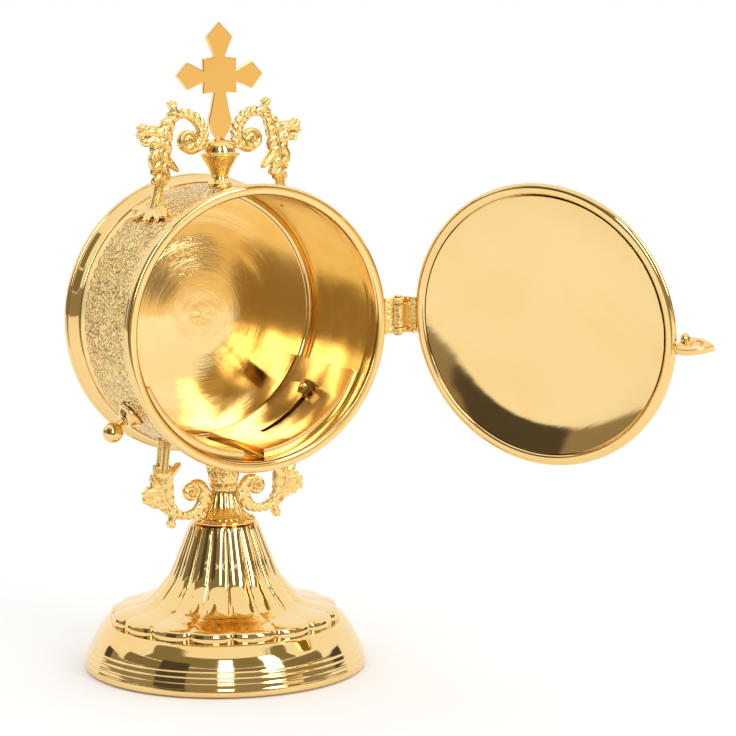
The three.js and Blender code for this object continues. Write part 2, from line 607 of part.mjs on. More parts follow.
// The dish's polished floor stands a little inside the rim and its edge laps the rim from outside
function doorDish() {
  const floor = SHUT - DOOR_WELL;
  const lap = SHUT - RIM_T;
  const edge = DOOR_WELL_R - SEAT_GAP;
  return turnedY([
    [0, floor], [edge - 0.5, floor], [edge, floor - 0.3], [edge, lap], [edge + DISH_LAP + SEAT_GAP, lap],
    [edge + DISH_LAP + SEAT_GAP, lap - 0.6], [edge + 0.6, lap - DISH_T], [0, lap - DISH_T],
  ], FINE).translate(0, 0, DRUM_Z);
}

// A pointed oval pull tab with an eye, lying square to the door
function doorTab() {
  const z = DRUM_Z - TAB_DROP;
  const y = SHUT - RIM_T / 2 - TAB_SETBACK;
  const root = -(DOOR_R + SEAT_GAP);
  const shape = new THREE.Shape();
  shape.moveTo(0, -TAB_ROOT);
  shape.quadraticCurveTo(-TAB_REACH * 0.5, -2 * TAB_HALF_W + TAB_ROOT, -TAB_REACH, 0);
  shape.quadraticCurveTo(-TAB_REACH * 0.5, 2 * TAB_HALF_W - TAB_ROOT, 0, TAB_ROOT);
  const eye = new THREE.Path();
  eye.absarc(-TAB_REACH * 0.5, 0, TAB_HOLE_R, 0, 2 * Math.PI, false);
  shape.holes.push(eye);
  const plate = new THREE.ExtrudeGeometry(shape, { depth: TAB_T, bevelEnabled: false, curveSegments: 7 })
    .translate(0, 0, -TAB_T / 2).rotateX(-TAB_TILT * RAD).translate(root, y, z);
  const lug = new THREE.SphereGeometry(LUG_R, 10, 8).scale(0.9, 1, 1.2)
    .translate(root - LUG_R, y - LUG_R, z + LUG_R);
  return shapeOf(joined([plate, lug]));
}

// Hinge: its axis leans a little forward and inward at the top

const hingeAt = new THREE.Vector3(HINGE_X, HINGE_Y, DRUM_Z + HINGE_RISE);
const hingeAxis = new THREE.Vector3(-Math.tan(HINGE_LEAN_IN * RAD), -Math.tan(HINGE_LEAN_FRONT * RAD), 1)
  .normalize();
const alongHinge = (offset) => hingeAt.clone().addScaledVector(hingeAxis, offset);

function knuckle(from, to) {
  return rodAlong(KNUCKLE_R, to - from, SMALL, alongHinge(from), hingeAxis);
}

const pinHole = () => rodAlong(PIN_R + STUD_GAP, HINGE_H + 2, SMALL, alongHinge(-HINGE_H / 2 - 1), hingeAxis);

// A flat plate from the hinge axis inwards, in hinge coordinates: x, y and the stretch along the axis
function hingePlate(inwards, yLow, yHigh, low, high) {
  const turn = new THREE.Quaternion().setFromUnitVectors(new THREE.Vector3(0, 0, 1), hingeAxis);
  return new THREE.BoxGeometry(inwards, yHigh - yLow, high - low)
    .translate(-inwards / 2, (yLow + yHigh) / 2, (low + high) / 2)
    .applyQuaternion(turn).translate(hingeAt.x, hingeAt.y, hingeAt.z);
}

const KNUCKLE_SPLIT = HINGE_MIDDLE / 2;
const HINGE_END = HINGE_H / 2;

// The drum's leaf carries the top and bottom knuckles and is brazed to the edge of the front ring
function hingeLeafDrum() {
  const reach = HINGE_X - RING_R + 1.5;
  const ends = [[KNUCKLE_SPLIT + KNUCKLE_GAP, HINGE_END], [-HINGE_END, -KNUCKLE_SPLIT - KNUCKLE_GAP]];
  const parts = ends.map(([low, high]) => knuckle(low, high));
  const half = HINGE_PLATE_T / 2;
  parts.push(...ends.map(([low, high]) => hingePlate(KNUCKLE_R + 0.6, -half, half, low, high)));
  parts.push(hingePlate(reach, -half, half, -HINGE_END, HINGE_END));
  const swing = rodAlong(KNUCKLE_R + STUD_GAP, HINGE_MIDDLE + 2 * KNUCKLE_GAP, SCREW_FACETS,
    alongHinge(-KNUCKLE_SPLIT - KNUCKLE_GAP), hingeAxis);
  return cut(joined(parts), [cylinderY(RING_R + SEAT_GAP), swing, pinHole()]);
}

// The door's leaf carries the middle knuckle and lies against the edge of the door's rim
function hingeLeafDoor() {
  const reach = HINGE_X - DOOR_R + 1.5;
  const front = -KNUCKLE_R + 0.1;
  const parts = [
    knuckle(-KNUCKLE_SPLIT, KNUCKLE_SPLIT),
    hingePlate(1.6, front - HINGE_PLATE_T, -0.4, -KNUCKLE_SPLIT, KNUCKLE_SPLIT),
    hingePlate(reach, front - HINGE_PLATE_T, front, -HINGE_END, HINGE_END),
  ];
  const stays = [[KNUCKLE_SPLIT, HINGE_END + 1], [-HINGE_END - 1, -KNUCKLE_SPLIT]].map(([low, high]) =>
    rodAlong(KNUCKLE_R + STUD_GAP, high - low, SCREW_FACETS, alongHinge(low), hingeAxis));
  return cut(joined(parts), [cylinderY(DOOR_R + SEAT_GAP), pinHole(), ...stays]);
}

function hingePin() {
  const heads = [HINGE_END + SEAT_GAP, -HINGE_END - SEAT_GAP - PIN_HEAD_H].map((from) =>
    rodAlong(PIN_HEAD_R, PIN_HEAD_H, SMALL, alongHinge(from), hingeAxis));
  const shaft = rodAlong(PIN_R, HINGE_H + 2 * SEAT_GAP + 2 * PIN_HEAD_H - 0.2, SMALL,
    alongHinge(-HINGE_END - SEAT_GAP - PIN_HEAD_H + 0.1), hingeAxis);
  return shapeOf(joined([shaft, ...heads]));
}

// Assembly

function piece(name, geometry, material, parent) {
  const mesh = new THREE.Mesh(welded(geometry), material);
  mesh.name = name;
  parent.add(mesh);
}

const luna = new THREE.Group();
const stand = new THREE.Group();
luna.add(stand);

piece('foot_base', footBase(), gold(), stand);
piece('foot_bell', footBell(), gold(), stand);
piece('foot_bead', beadRing(BELL_TOP, BEAD_R, BEAD_H), gold(), stand);
piece('neck', neck(), gold(), stand);
piece('neck_collar', beadRing(NECK_TOP, COLLAR_R, COLLAR_H), gold(), stand);
piece('drum_saddle', drumSaddle(), castGold(), stand);
piece('tie_rod', tieRod(), gold(), stand);
const plateUnderside = BELL_TOP - BELL_WALL;
piece('tie_washer', tieRing(TIE_WASHER_R, plateUnderside, TIE_WASHER_H, MIDDLE), gold(), stand);
const nutTop = plateUnderside - TIE_WASHER_H;
piece('tie_nut', tieRing(TIE_NUT_FLATS / Math.sqrt(3), nutTop, TIE_NUT_H, 6), gold(), stand);
piece('drum_band', drumBand(), castGold(), stand);
piece('front_ring', frontRing(), gold(), stand);
piece('rear_ring', rearRing(), gold(), stand);
piece('back_plate', backPlate(), mirror(), stand);
for (const side of ['left', 'right']) {
  piece(`upper_scroll_${side}`, upperScroll(side), castGold(), stand);
  piece(`lower_scroll_${side}`, lowerScroll(side), castGold(), stand);
  piece(`screw_collar_${side}`, screwCollar(side), gold(), stand);
  piece(`screw_spacer_${side}`, ringOnScrew(SPACER_R, LEAF_R + LEAF_T + SEAT_GAP,
    BAND_INNER_R - LEAF_R - LEAF_T - 2 * SEAT_GAP, SMALL, side), gold(), stand);
  piece(`screw_nut_${side}`, ringOnScrew(NUT_R, LEAF_R - SEAT_GAP - NUT_H, NUT_H, 6, side), gold(), stand);
  piece(`knob_${side}`, knob(side), gold(), stand);
  piece(`cradle_leaf_${side}`, cradleLeaf(side), mirror(), stand);
}
piece('finial_urn', finialUrn(), gold(), stand);
piece('cross', cross(), mirror(), stand);
piece('hinge_leaf_drum', hingeLeafDrum(), castGold(), stand);
piece('hinge_pin', hingePin(), gold(), stand);

// The door swings about the hinge from shut to its open place
const door = new THREE.Group();
const swing = new THREE.Group();
swing.position.copy(hingeAt);
swing.quaternion.setFromAxisAngle(hingeAxis, OPEN_ANGLE * RAD);
door.position.copy(hingeAt).negate();
swing.add(door);
stand.add(swing);
piece('hinge_leaf_door', hingeLeafDoor(), castGold(), door);
piece('door_rim', doorRim(), gold(), door);
piece('door_dish', doorDish(), mirror(), door);
piece('door_tab', doorTab(), gold(), door);

// The origin is the middle of the open piece's footprint, on the table
luna.updateMatrixWorld(true);
const reach = new THREE.Box3().setFromObject(luna, true);
stand.position.set(-(reach.min.x + reach.max.x) / 2, -(reach.min.y + reach.max.y) / 2, -reach.min.z);

export default luna;
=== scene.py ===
"""A standing gilt luna: fluted foot, open drum with a hinged door, cast scrolls, urn and cross."""
import json
import math

import bmesh
import bpy
import numpy as np
from bpy.props import FloatProperty, FloatVectorProperty, IntProperty, PointerProperty
from mathutils import Matrix, Vector


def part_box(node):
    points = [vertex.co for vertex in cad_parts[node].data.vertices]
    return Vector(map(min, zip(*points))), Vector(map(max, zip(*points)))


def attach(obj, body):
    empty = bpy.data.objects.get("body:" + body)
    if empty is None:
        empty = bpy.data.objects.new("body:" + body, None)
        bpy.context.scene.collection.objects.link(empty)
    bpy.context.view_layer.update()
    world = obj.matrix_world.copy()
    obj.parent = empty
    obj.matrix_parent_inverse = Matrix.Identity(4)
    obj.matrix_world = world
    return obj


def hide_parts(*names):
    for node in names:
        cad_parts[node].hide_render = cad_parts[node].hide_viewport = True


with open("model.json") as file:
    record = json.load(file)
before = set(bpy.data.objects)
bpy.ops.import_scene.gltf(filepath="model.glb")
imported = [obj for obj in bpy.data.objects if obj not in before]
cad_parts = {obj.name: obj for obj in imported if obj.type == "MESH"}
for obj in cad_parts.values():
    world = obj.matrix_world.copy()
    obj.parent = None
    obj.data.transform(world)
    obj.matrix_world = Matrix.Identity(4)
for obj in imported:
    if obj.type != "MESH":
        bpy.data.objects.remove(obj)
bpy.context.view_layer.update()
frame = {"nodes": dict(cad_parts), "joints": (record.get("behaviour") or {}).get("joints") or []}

bl_info = {
    "name": "Standing Luna",
    "version": (1, 0, 0),
    "blender": (4, 5, 0),
    "location": "View3D > Sidebar > Luna",
    "description": "Dresses the packed luna with turned, fluted, embossed and cast gilt pieces",
    "category": "Add Mesh",
}

MM = 0.001


def box_middle(node):
    low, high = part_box(node)
    return (low + high) / 2


def box_size(node):
    low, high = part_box(node)
    return high - low


# Every piece is drawn in millimetres round the foot's axis, and then put where the frame has that axis.
AXIS = box_middle("foot_base")
HINGE = next(joint for joint in frame["joints"] if joint["name"] == "door_hinge")
DRUM_AXIS = box_middle("front_ring").z / MM
RING_R = box_size("front_ring").x / MM / 2
DRUM_FRONT = (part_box("front_ring")[0].y - AXIS.y) / MM
DRUM_BACK = (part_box("rear_ring")[1].y - AXIS.y) / MM
BAND_R = box_size("drum_band").x / MM / 2
BAND_WALL = 1.2
BAND_INNER_R = BAND_R - BAND_WALL
BAND_FRONT = (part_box("drum_band")[0].y - AXIS.y) / MM
BAND_BACK = (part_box("drum_band")[1].y - AXIS.y) / MM
BELL_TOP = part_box("foot_bell")[1].z / MM
FOOT_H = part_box("foot_base")[1].z / MM
FOOT_R = box_size("foot_base").x / MM / 2
BELL_HEM_R = FOOT_R - 9
BEAD_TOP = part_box("foot_bead")[1].z / MM
BEAD_R = box_size("foot_bead").x / MM / 2
NECK_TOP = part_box("neck")[1].z / MM
COLLAR_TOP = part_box("neck_collar")[1].z / MM
URN_FOOT = DRUM_AXIS + BAND_R
URN_H = 16.7
ROD_HOLE_R = 2.3
PLATE_FACE = DRUM_BACK - 6.3
PLATE_T = 1.4
GAP = 0.3

SIDES = ((-1, "left"), (1, "right"))

# The clamping screws and the slotted leaves; angles are degrees round the drum from its right-hand side
SCREW_ANGLE = -39.5
SCREW_Y = -2.5
STUD_R, SCREW_HOLE_R = 1.5, 1.8
LEAF_R, LEAF_T = BAND_INNER_R - 3, 0.8
LEAF_LOW, LEAF_HIGH = -85.0, -24.0
SLOT_LOW = -69.0


# Settings that a user would change

class LunaShapes(bpy.types.PropertyGroup):
    bell_lobes: IntProperty(name="Bell Lobes", description="Flutes round the bell", default=16, min=6)
    bell_crease: FloatProperty(
        name="Bell Crease", description="Depth of the creases at the bell's hem", default=0.0019,
        unit="LENGTH")
    neck_lobes: IntProperty(name="Neck Lobes", description="Flutes round the neck", default=12, min=4)
    neck_crease: FloatProperty(
        name="Neck Crease", description="Depth of the neck's creases", default=0.00035, unit="LENGTH")
    relief: FloatProperty(
        name="Band Relief", description="Height of the embossed scrollwork", default=0.0005, unit="LENGTH")
    panels: IntProperty(
        name="Band Panels", description="Repeats of the scrollwork round the drum", default=8, min=2)
    cast_grain: FloatProperty(
        name="Cast Grain", description="Voxel size of the cast scrolls", default=0.00027, unit="LENGTH")


class LunaGold(bpy.types.PropertyGroup):
    polished: FloatVectorProperty(
        name="Polished Gold", description="Spun and turned pieces", subtype="COLOR",
        default=(0.9, 0.645, 0.28))
    cast: FloatVectorProperty(
        name="Cast Gold", description="Embossed and cast pieces", subtype="COLOR", default=(0.95, 0.71, 0.3))
    mirror: FloatVectorProperty(
        name="Mirror Gold", description="Flat polished sheet", subtype="COLOR", default=(0.9, 0.65, 0.29))
    # The shade colour is painted shade in the cast hollows, the pits and the band's creases. It also colours
    # the scribed circle on the back plate.
    shade: FloatVectorProperty(
        name="Painted Shade Gold", description="Painted shade in hollows and creases, also the scribed circle", subtype="COLOR",
        default=(0.42, 0.19, 0.035))
    polish: FloatProperty(
        name="Polish Roughness", description="Roughness of the polished pieces", default=0.055, min=0, max=1,
        subtype="FACTOR")


class LunaStage(bpy.types.PropertyGroup):
    lens: FloatProperty(name="Lens", description="Focal length in millimetres", default=144.5)
    camera_at: FloatVectorProperty(
        name="Camera", description="Camera place from the foot's axis", subtype="TRANSLATION",
        default=(-0.46107, -0.92099, 0.26120))
    camera_look: FloatVectorProperty(
        name="Look", description="Direction that the camera looks in", subtype="DIRECTION",
        default=(0.48622, 0.86112, -0.14856))
    camera_roll: FloatProperty(
        name="Roll", description="Camera's turn about its view", subtype="ANGLE", default=math.radians(-0.23))
    paper: FloatVectorProperty(
        name="Paper", description="Floor and surround", subtype="COLOR", default=(0.95, 0.95, 0.945))
    room_low: FloatVectorProperty(
        name="Low Room", description="Studio wall at table height, as the gold sees it", subtype="COLOR",
        default=(0.32, 0.27, 0.2))
    room_middle: FloatVectorProperty(
        name="Middle Room", description="Studio wall above the table", subtype="COLOR",
        default=(0.24, 0.2, 0.145))
    board: FloatVectorProperty(
        name="Board", description="Warm board on the floor, right of the camera", subtype="COLOR",
        default=(1.0, 0.78, 0.45))
    room_high: FloatVectorProperty(
        name="High Room", description="Upper studio wall", subtype="COLOR",
        default=(0.26, 0.235, 0.14))
    pane: FloatVectorProperty(
        name="Window Pane", description="Brightness of the windows as the gold sees them", subtype="COLOR",
        default=(5.5, 5.6, 6.0))
    cabinet: FloatVectorProperty(
        name="Cabinet", description="Dark cabinet and cloth, left of the camera", subtype="COLOR",
        default=(0.085, 0.075, 0.062))


def shapes():
    return bpy.context.scene.luna_shapes


def golds():
    return bpy.context.scene.luna_gold


def stage_settings():
    return bpy.context.scene.luna_stage


# Shader maths on sockets

class Wire:
    """A number in a shader, with Python's operators."""

    def __init__(self, shader, socket):
        self.shader = shader
        self.socket = socket

    def _maths(self, operation, *values):
        return self.shader.node("ShaderNodeMath", {"operation": operation}, dict(enumerate(values)))

    def __add__(self, other):
        return self._maths("ADD", self, other)

    def __sub__(self, other):
        return self._maths("SUBTRACT", self, other)

    def __rsub__(self, other):
        return self._maths("SUBTRACT", other, self)

    def __mul__(self, other):
        return self._maths("MULTIPLY", self, other)

    def __truediv__(self, other):
        return self._maths("DIVIDE", self, other)

    def __pow__(self, other):
        return self._maths("POWER", self, other)

    __radd__ = __add__
    __rmul__ = __mul__

    def root(self):
        return self._maths("SQRT", self)

    def sine(self):
        return self._maths("SINE", self)

    def sign(self):
        return self._maths("SIGN", self)

    def around(self, other):
        return self._maths("ARCTAN2", self, other)

    def band(self, low, high):
        """0 under low, 1 over high, smooth between."""
        return self.shader.node("ShaderNodeMapRange", {"interpolation_type": "SMOOTHSTEP"},
                                {"Value": self, "From Min": low, "From Max": high})


class Shader:
    """A material or world tree that is written as calls."""

    def __init__(self, owner):
        self.owner = owner
        owner.use_nodes = True
        self.tree = owner.node_tree
        self.tree.nodes.clear()

    def node(self, kind, settings=None, sockets=None, out=0):
        made = self.tree.nodes.new(kind)
        for name, value in (settings or {}).items():
            if name == "stops":
                self._ramp(made.color_ramp, value)
            else:
                setattr(made, name, value)
        for name, value in (sockets or {}).items():
            if value is None:
                continue
            if isinstance(value, Wire):
                self.tree.links.new(value.socket, made.inputs[name])
            else:
                made.inputs[name].default_value = value
        return Wire(self, made.outputs[out]) if made.outputs else made

    @staticmethod
    def _ramp(ramp, stops):
        while len(ramp.elements) < len(stops):
            ramp.elements.new(0.5)
        for element, (place, colour) in zip(ramp.elements, stops):
            element.position = place
            element.color = colour

    def place(self):
        return self.node("ShaderNodeTexCoord", out=3)

    def attribute(self, name):
        return self.node("ShaderNodeAttribute", {"attribute_name": name}, out=2)

    def parts(self, vector):
        split = self.node("ShaderNodeSeparateXYZ", None, {0: vector})
        return [Wire(self, socket) for socket in split.socket.node.outputs]

    def vector(self, x, y, z):
        return self.node("ShaderNodeCombineXYZ", None, {0: x, 1: y, 2: z})

    def noise(self, scale, detail=3.0, rough=0.5, vector=None, distortion=0.0):
        return self.node("ShaderNodeTexNoise", None, {
            "Vector": vector or self.place(), "Scale": scale, "Detail": detail, "Roughness": rough,
            "Distortion": distortion})

    def mixed(self, factor, first, second):
        made = self.node("ShaderNodeMix", {"data_type": "RGBA"}, {0: factor, 6: first, 7: second})
        return Wire(self, made.socket.node.outputs[2])

    def bump(self, height, strength, distance, normal=None):
        return self.node("ShaderNodeBump", None, {
            "Height": height, "Strength": strength, "Distance": distance, "Normal": normal})

    def metal(self, colour, roughness, normal=None):
        shader = self.node("ShaderNodeBsdfPrincipled", None, {
            "Base Color": colour, "Metallic": 1.0, "Roughness": roughness, "Normal": normal})
        self.node("ShaderNodeOutputMaterial", None, {"Surface": shader})
        return self.owner


def rgba(colour, shares=(1.0, 1.0, 1.0)):
    """An opaque colour, each channel taken down to its share."""
    return (*(value * share for value, share in zip(colour, shares)), 1.0)


def polished_gold(name, centre=None, spin=None, roughness=None, tone=None):
    """Lacquer-bright gilding; with a centre and a spin axis it shows the faint rings of the lathe."""
    made = Shader(bpy.data.materials.new(name))
    tone = tone or golds().polished
    cloud = made.noise(38.0, 3.0)
    colour = made.mixed(cloud.band(0.35, 0.7), rgba(tone), rgba(tone, (0.985, 0.95, 0.88)))
    smear = made.noise(90.0, 4.0, 0.6)
    gloss = (roughness or golds().polish) + 0.035 * smear.band(0.5, 0.75)
    height = made.noise(900.0, 2.0) * 0.4
    if spin:
        lathe_marks = 2600.0
        x, y, z = made.parts(made.place())
        x = x - centre[0]
        side, along = (y - centre[1], z) if spin == "Z" else (z - centre[2], y)
        radius = (x * x + side * side).root()
        turning = made.vector(radius * lathe_marks, along * lathe_marks, 0.0)
        height = height + made.noise(1.0, 4.0, 0.7, turning)
    return made.metal(colour, gloss, made.bump(height, 0.05, 0.00008))


def cast_gold(name, hollows=True, pitted=0.12, roughness=0.1):
    """Cast gilding: a fine granular skin, with painted shade in its pits and, where asked, in its hollows."""
    made = Shader(bpy.data.materials.new(name))
    tone, shade = golds().cast, rgba(golds().shade)
    pits = made.node("ShaderNodeTexVoronoi", {"feature": "F1"}, {
        "Vector": made.place(), "Scale": 1500.0, "Randomness": 1.0})
    grain = made.noise(2400.0, 3.0, 0.6)
    worn = made.noise(160.0, 4.0)
    colour = made.mixed(worn.band(0.3, 0.75), rgba(tone), rgba(tone, (1.0, 0.93, 0.8)))
    # Painted shade: the bottoms of the pits are darkened towards the shade colour.
    colour = made.mixed((1.0 - pits.band(0.05, 0.35)) * 0.25, colour, shade)
    if hollows:
        # Painted shade in the hollows, by the hollow mask.
        colour = made.mixed(made.attribute("hollow") * 0.85, colour, shade)
    gloss = roughness + 0.08 * worn.band(0.35, 0.8)
    return made.metal(colour, gloss, made.bump(pits + grain * 0.6, pitted, 0.00012))


def embossed_gold(name):
    """Embossed sheet, chased all over its foliage with short curling strokes, with painted shade in their
    creases.
    """
    made = Shader(bpy.data.materials.new(name))
    tone, shade = golds().cast, rgba(golds().shade)
    centre = centre_of_drum()
    x, y, z = made.parts(made.place())
    round_drum = (x - centre[0]).around(z - centre[2]) * (BAND_R * MM)
    drift = made.parts(made.node("ShaderNodeTexNoise", None, {
        "Vector": made.place(), "Scale": 230.0, "Detail": 1.0, "Roughness": 0.5}, out=1))
    wander, stretch = 0.0045, 0.55
    round_drum = round_drum + (drift[0] - 0.5) * wander
    deep = y * stretch + (drift[1] - 0.5) * wander
    cell = made.node("ShaderNodeTexVoronoi", {"voronoi_dimensions": "2D"}, {
        "Vector": made.vector(round_drum, deep, 0.0), "Scale": 130.0, "Randomness": 0.95}, out=2)
    middle = made.parts(cell)
    chance = made.parts(Wire(made, cell.socket.node.outputs[1]))
    across, along = round_drum - middle[0], deep - middle[1]
    reach = (across * across + along * along).root()
    strokes, whole_turn = 780.0, 2 * math.pi
    winding = along.around(across) * (chance[1] - 0.5).sign() / whole_turn
    lane = reach * strokes + winding + chance[0]
    stroke = (lane * whole_turn).sine() * 0.5 + 0.5
    foliage = made.attribute("foliage")
    # Painted shade: the grooves of the strokes are darkened towards the shade colour.
    crease = (1.0 - stroke) ** 2.5 * foliage
    worn = made.noise(160.0, 4.0)
    colour = made.mixed(worn.band(0.3, 0.75), rgba(tone), rgba(tone, (1.0, 0.95, 0.85)))
    # Painted shade in the creases and, by the hollow mask, in the relief's low parts.
    colour = made.mixed(crease * 0.5 + made.attribute("hollow") * 0.2, colour, shade)
    normal = made.bump(stroke * foliage, 0.7, 0.0003)
    return made.metal(colour, 0.17 + 0.08 * worn.band(0.4, 0.8), normal)


def brushed_gold(name, centre, roughness=0.06, strength=0.1, scribed=0.0):
    """Spun sheet seen face on: concentric brush marks, faint smears and, where asked, a scribed circle."""
    made = Shader(bpy.data.materials.new(name))
    tone = golds().mirror
    x, _, z = made.parts(made.place())
    x = x - centre[0]
    z = z - centre[2]
    radius = (x * x + z * z).root()
    across, up = x / radius, z / radius
    rings = made.noise(1.0, 5.0, 0.65, made.vector(radius * 1500.0, across * 1.6, up * 1.6))
    wave = made.noise(1.0, 1.0, 0.4, made.vector(radius * 150.0, across * 0.6, up * 0.6 + 3.0))
    smear = made.noise(26.0, 3.0, 0.5, None, 0.6)
    colour = made.mixed(smear.band(0.4, 0.75), rgba(tone), rgba(tone, (0.98, 0.93, 0.82)))
    if scribed:
        off = radius - scribed
        line, line_depth = 1.0 - (off * off).band(1e-9, 1.4e-8), 0.35
        colour = made.mixed(line * line_depth, colour, rgba(golds().shade))
    gloss = roughness + 0.09 * smear.band(0.52, 0.8) + 0.05 * rings.band(0.55, 0.8)
    return made.metal(colour, gloss, made.bump(rings * 0.35 + wave * 1.6, strength, 0.0004))


# Mesh making, in millimetres round the foot's axis

def to_frame(points):
    points = np.asarray(points, float) * MM
    points[:, 0] += AXIS.x
    points[:, 1] += AXIS.y
    return points


def swung(points):
    """Turns the door, drawn shut, to where it stands open."""
    angle = -math.radians(HINGE["range_deg"][0])
    pin = Vector(HINGE["pos_m"])
    opening = Matrix.Rotation(angle, 4, Vector(HINGE["axis"]))
    turn = np.array(Matrix.Translation(pin) @ opening @ Matrix.Translation(-pin))
    return points @ turn[:3, :3].T + turn[:3, 3]


def smooth_line(points, count):
    """A smooth line through every given point, with as many numbers to a point as are given."""
    points = np.asarray(points, float)
    padded = np.vstack([2 * points[0] - points[1], points, 2 * points[-1] - points[-2]])
    places = np.linspace(0, len(points) - 1, count)
    index = np.minimum(places.astype(int), len(points) - 2)
    t = (places - index)[:, None]
    a, b, c, d = (padded[index + k] for k in range(4))
    squared, cubed = 2 * a - 5 * b + 4 * c - d, 3 * b - a - 3 * c + d
    return 0.5 * (2 * b + (c - a) * t + squared * t ** 2 + cubed * t ** 3)


def eased(profile, radius=0.5, steps=4, closed=True):
    """Rounds every corner of a profile; a point may carry its own radius."""
    points = [np.array(point[:2], float) for point in profile]
    radii = [point[2] if len(point) > 2 else radius for point in profile]
    rounded = []
    for i, point in enumerate(points):
        if not closed and i in (0, len(points) - 1):
            rounded.append(point)
            continue
        before = points[i - 1] - point
        after = points[(i + 1) % len(points)] - point
        reach = [min(radii[i], 0.45 * np.linalg.norm(side)) for side in (before, after)]
        start = point + before / np.linalg.norm(before) * reach[0]
        end = point + after / np.linalg.norm(after) * reach[1]
        if max(reach) < 1e-4:
            rounded.append(point)
            continue
        for t in np.linspace(0, 1, steps + 1):
            rounded.append((1 - t) ** 2 * start + 2 * t * (1 - t) * point + t ** 2 * end)
    return np.array(rounded)


def grid_faces(rows, columns, wrap_rows):
    last = rows if wrap_rows else rows - 1
    row = np.arange(last)[:, None]
    column = np.arange(columns)[None, :]
    following = (column + 1) % columns
    above = (row + 1) % rows
    faces = np.stack([row * columns + column, row * columns + following,
                      above * columns + following, above * columns + column], axis=-1)
    return faces.reshape(-1, 4)


def sheet_faces(rows, columns, wrap_rows=False):
    """The faces of a grid whose first and last columns stay apart."""
    return grid_faces(rows, columns, wrap_rows).reshape(-1, columns, 4)[:, :-1].reshape(-1, 4)


def turned(profile, facets=192, axis="Z", closed=True):
    """A profile of [radius, height] turned round the foot's axis, or round the drum's."""
    angle = np.linspace(0, 2 * math.pi, facets, endpoint=False)
    radius = profile[:, 0][:, None]
    height = np.repeat(profile[:, 1][:, None], facets, axis=1)
    first, second = radius * np.cos(angle), radius * np.sin(angle)
    if axis == "Z":
        points = np.stack([first, second, height], axis=-1)
    else:
        points = np.stack([first, height, second + DRUM_AXIS], axis=-1)
    return points.reshape(-1, 3), grid_faces(len(profile), facets, closed)


def swept(stops, depth, rings, sides, across=(0.0, 1.0, 0.0)):
    """A tapering member along a line of [x, y, z, half width], flattened along one direction."""
    line = smooth_line(stops, rings)
    line[:, 3] = np.maximum(line[:, 3], 0.05)
    centre, half = line[:, :3], line[:, 3]
    tangent = np.gradient(centre, axis=0)
    side = np.cross(tangent, across)
    side /= np.linalg.norm(side, axis=1, keepdims=True)
    turn = np.linspace(0, 2 * math.pi, sides, endpoint=False)
    flat = np.minimum(depth, half * 1.3)
    points = (centre[:, None, :] + side[:, None, :] * (half[:, None] * np.cos(turn))[..., None]
              + np.asarray(across, float)[None, None, :] * (flat[:, None] * np.sin(turn))[..., None])
    points = points.reshape(-1, 3)
    faces = [tuple(face) for face in grid_faces(rings, sides, False)]
    faces += [tuple(range(sides)), tuple(range((rings - 1) * sides, rings * sides))]
    return points, faces


def gathered(parts):
    """Several point and face lists as one."""
    points, faces, start = [], [], 0
    for part_points, part_faces in parts:
        points.append(np.asarray(part_points, float))
        faces += [tuple(int(index) + start for index in face) for face in part_faces]
        start += len(part_points)
    return np.vstack(points), faces


def mended(mesh):
    """Merges what lies together and turns the faces outwards."""
    build = bmesh.new()
    build.from_mesh(mesh)
    bmesh.ops.remove_doubles(build, verts=build.verts, dist=1e-6)
    bmesh.ops.dissolve_degenerate(build, edges=build.edges, dist=1e-7)
    bmesh.ops.recalc_face_normals(build, faces=build.faces)
    build.to_mesh(mesh)
    build.free()
    return mesh


def raw_mesh(name, points, faces):
    """A closed mesh in the frame's metres."""
    mesh = bpy.data.meshes.new(name)
    mesh.from_pydata(np.asarray(points).tolist(), [], [tuple(int(i) for i in face) for face in faces])
    return mended(mesh)


def placed(name, mesh, material, body, node, sharp=32.0):
    """Puts a finished mesh in the scene as the piece that stands for a node of the frame."""
    mesh.name = name
    mesh.materials.clear()
    mesh.materials.append(material)
    mesh.shade_smooth()
    mesh.set_sharp_from_angle(angle=math.radians(sharp))
    piece = bpy.data.objects.new(name, mesh)
    bpy.context.scene.collection.objects.link(piece)
    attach(piece, body)
    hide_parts(node)


def made_piece(name, points, faces, material, node, body="stand", sharp=32.0):
    """A piece from points in millimetres; what rides on the door is drawn shut and swung open."""
    points = to_frame(points)
    if body == "door":
        points = swung(points)
    placed(name, raw_mesh(name, points, faces), material, body, node, sharp)


def modified(mesh, *changes):
    """The mesh after modifiers, as a plain mesh. Each change is (type, settings)."""
    holder = bpy.data.objects.new("holder", mesh)
    bpy.context.scene.collection.objects.link(holder)
    for kind, settings in changes:
        modifier = holder.modifiers.new(kind, kind)
        for name, value in settings.items():
            if name.startswith("["):
                modifier[name[1:-1]] = value
            else:
                setattr(modifier, name, value)
    bpy.context.view_layer.update()
    graph = bpy.context.evaluated_depsgraph_get()
    result = bpy.data.meshes.new_from_object(holder.evaluated_get(graph))
    bpy.data.objects.remove(holder)
    return result


def bevelled(width, segments, angle):
    """The bevel modifier as a change for modified(), on edges sharper than the angle."""
    return ("BEVEL", {"width": width, "segments": segments, "limit_method": "ANGLE",
                      "angle_limit": math.radians(angle)})


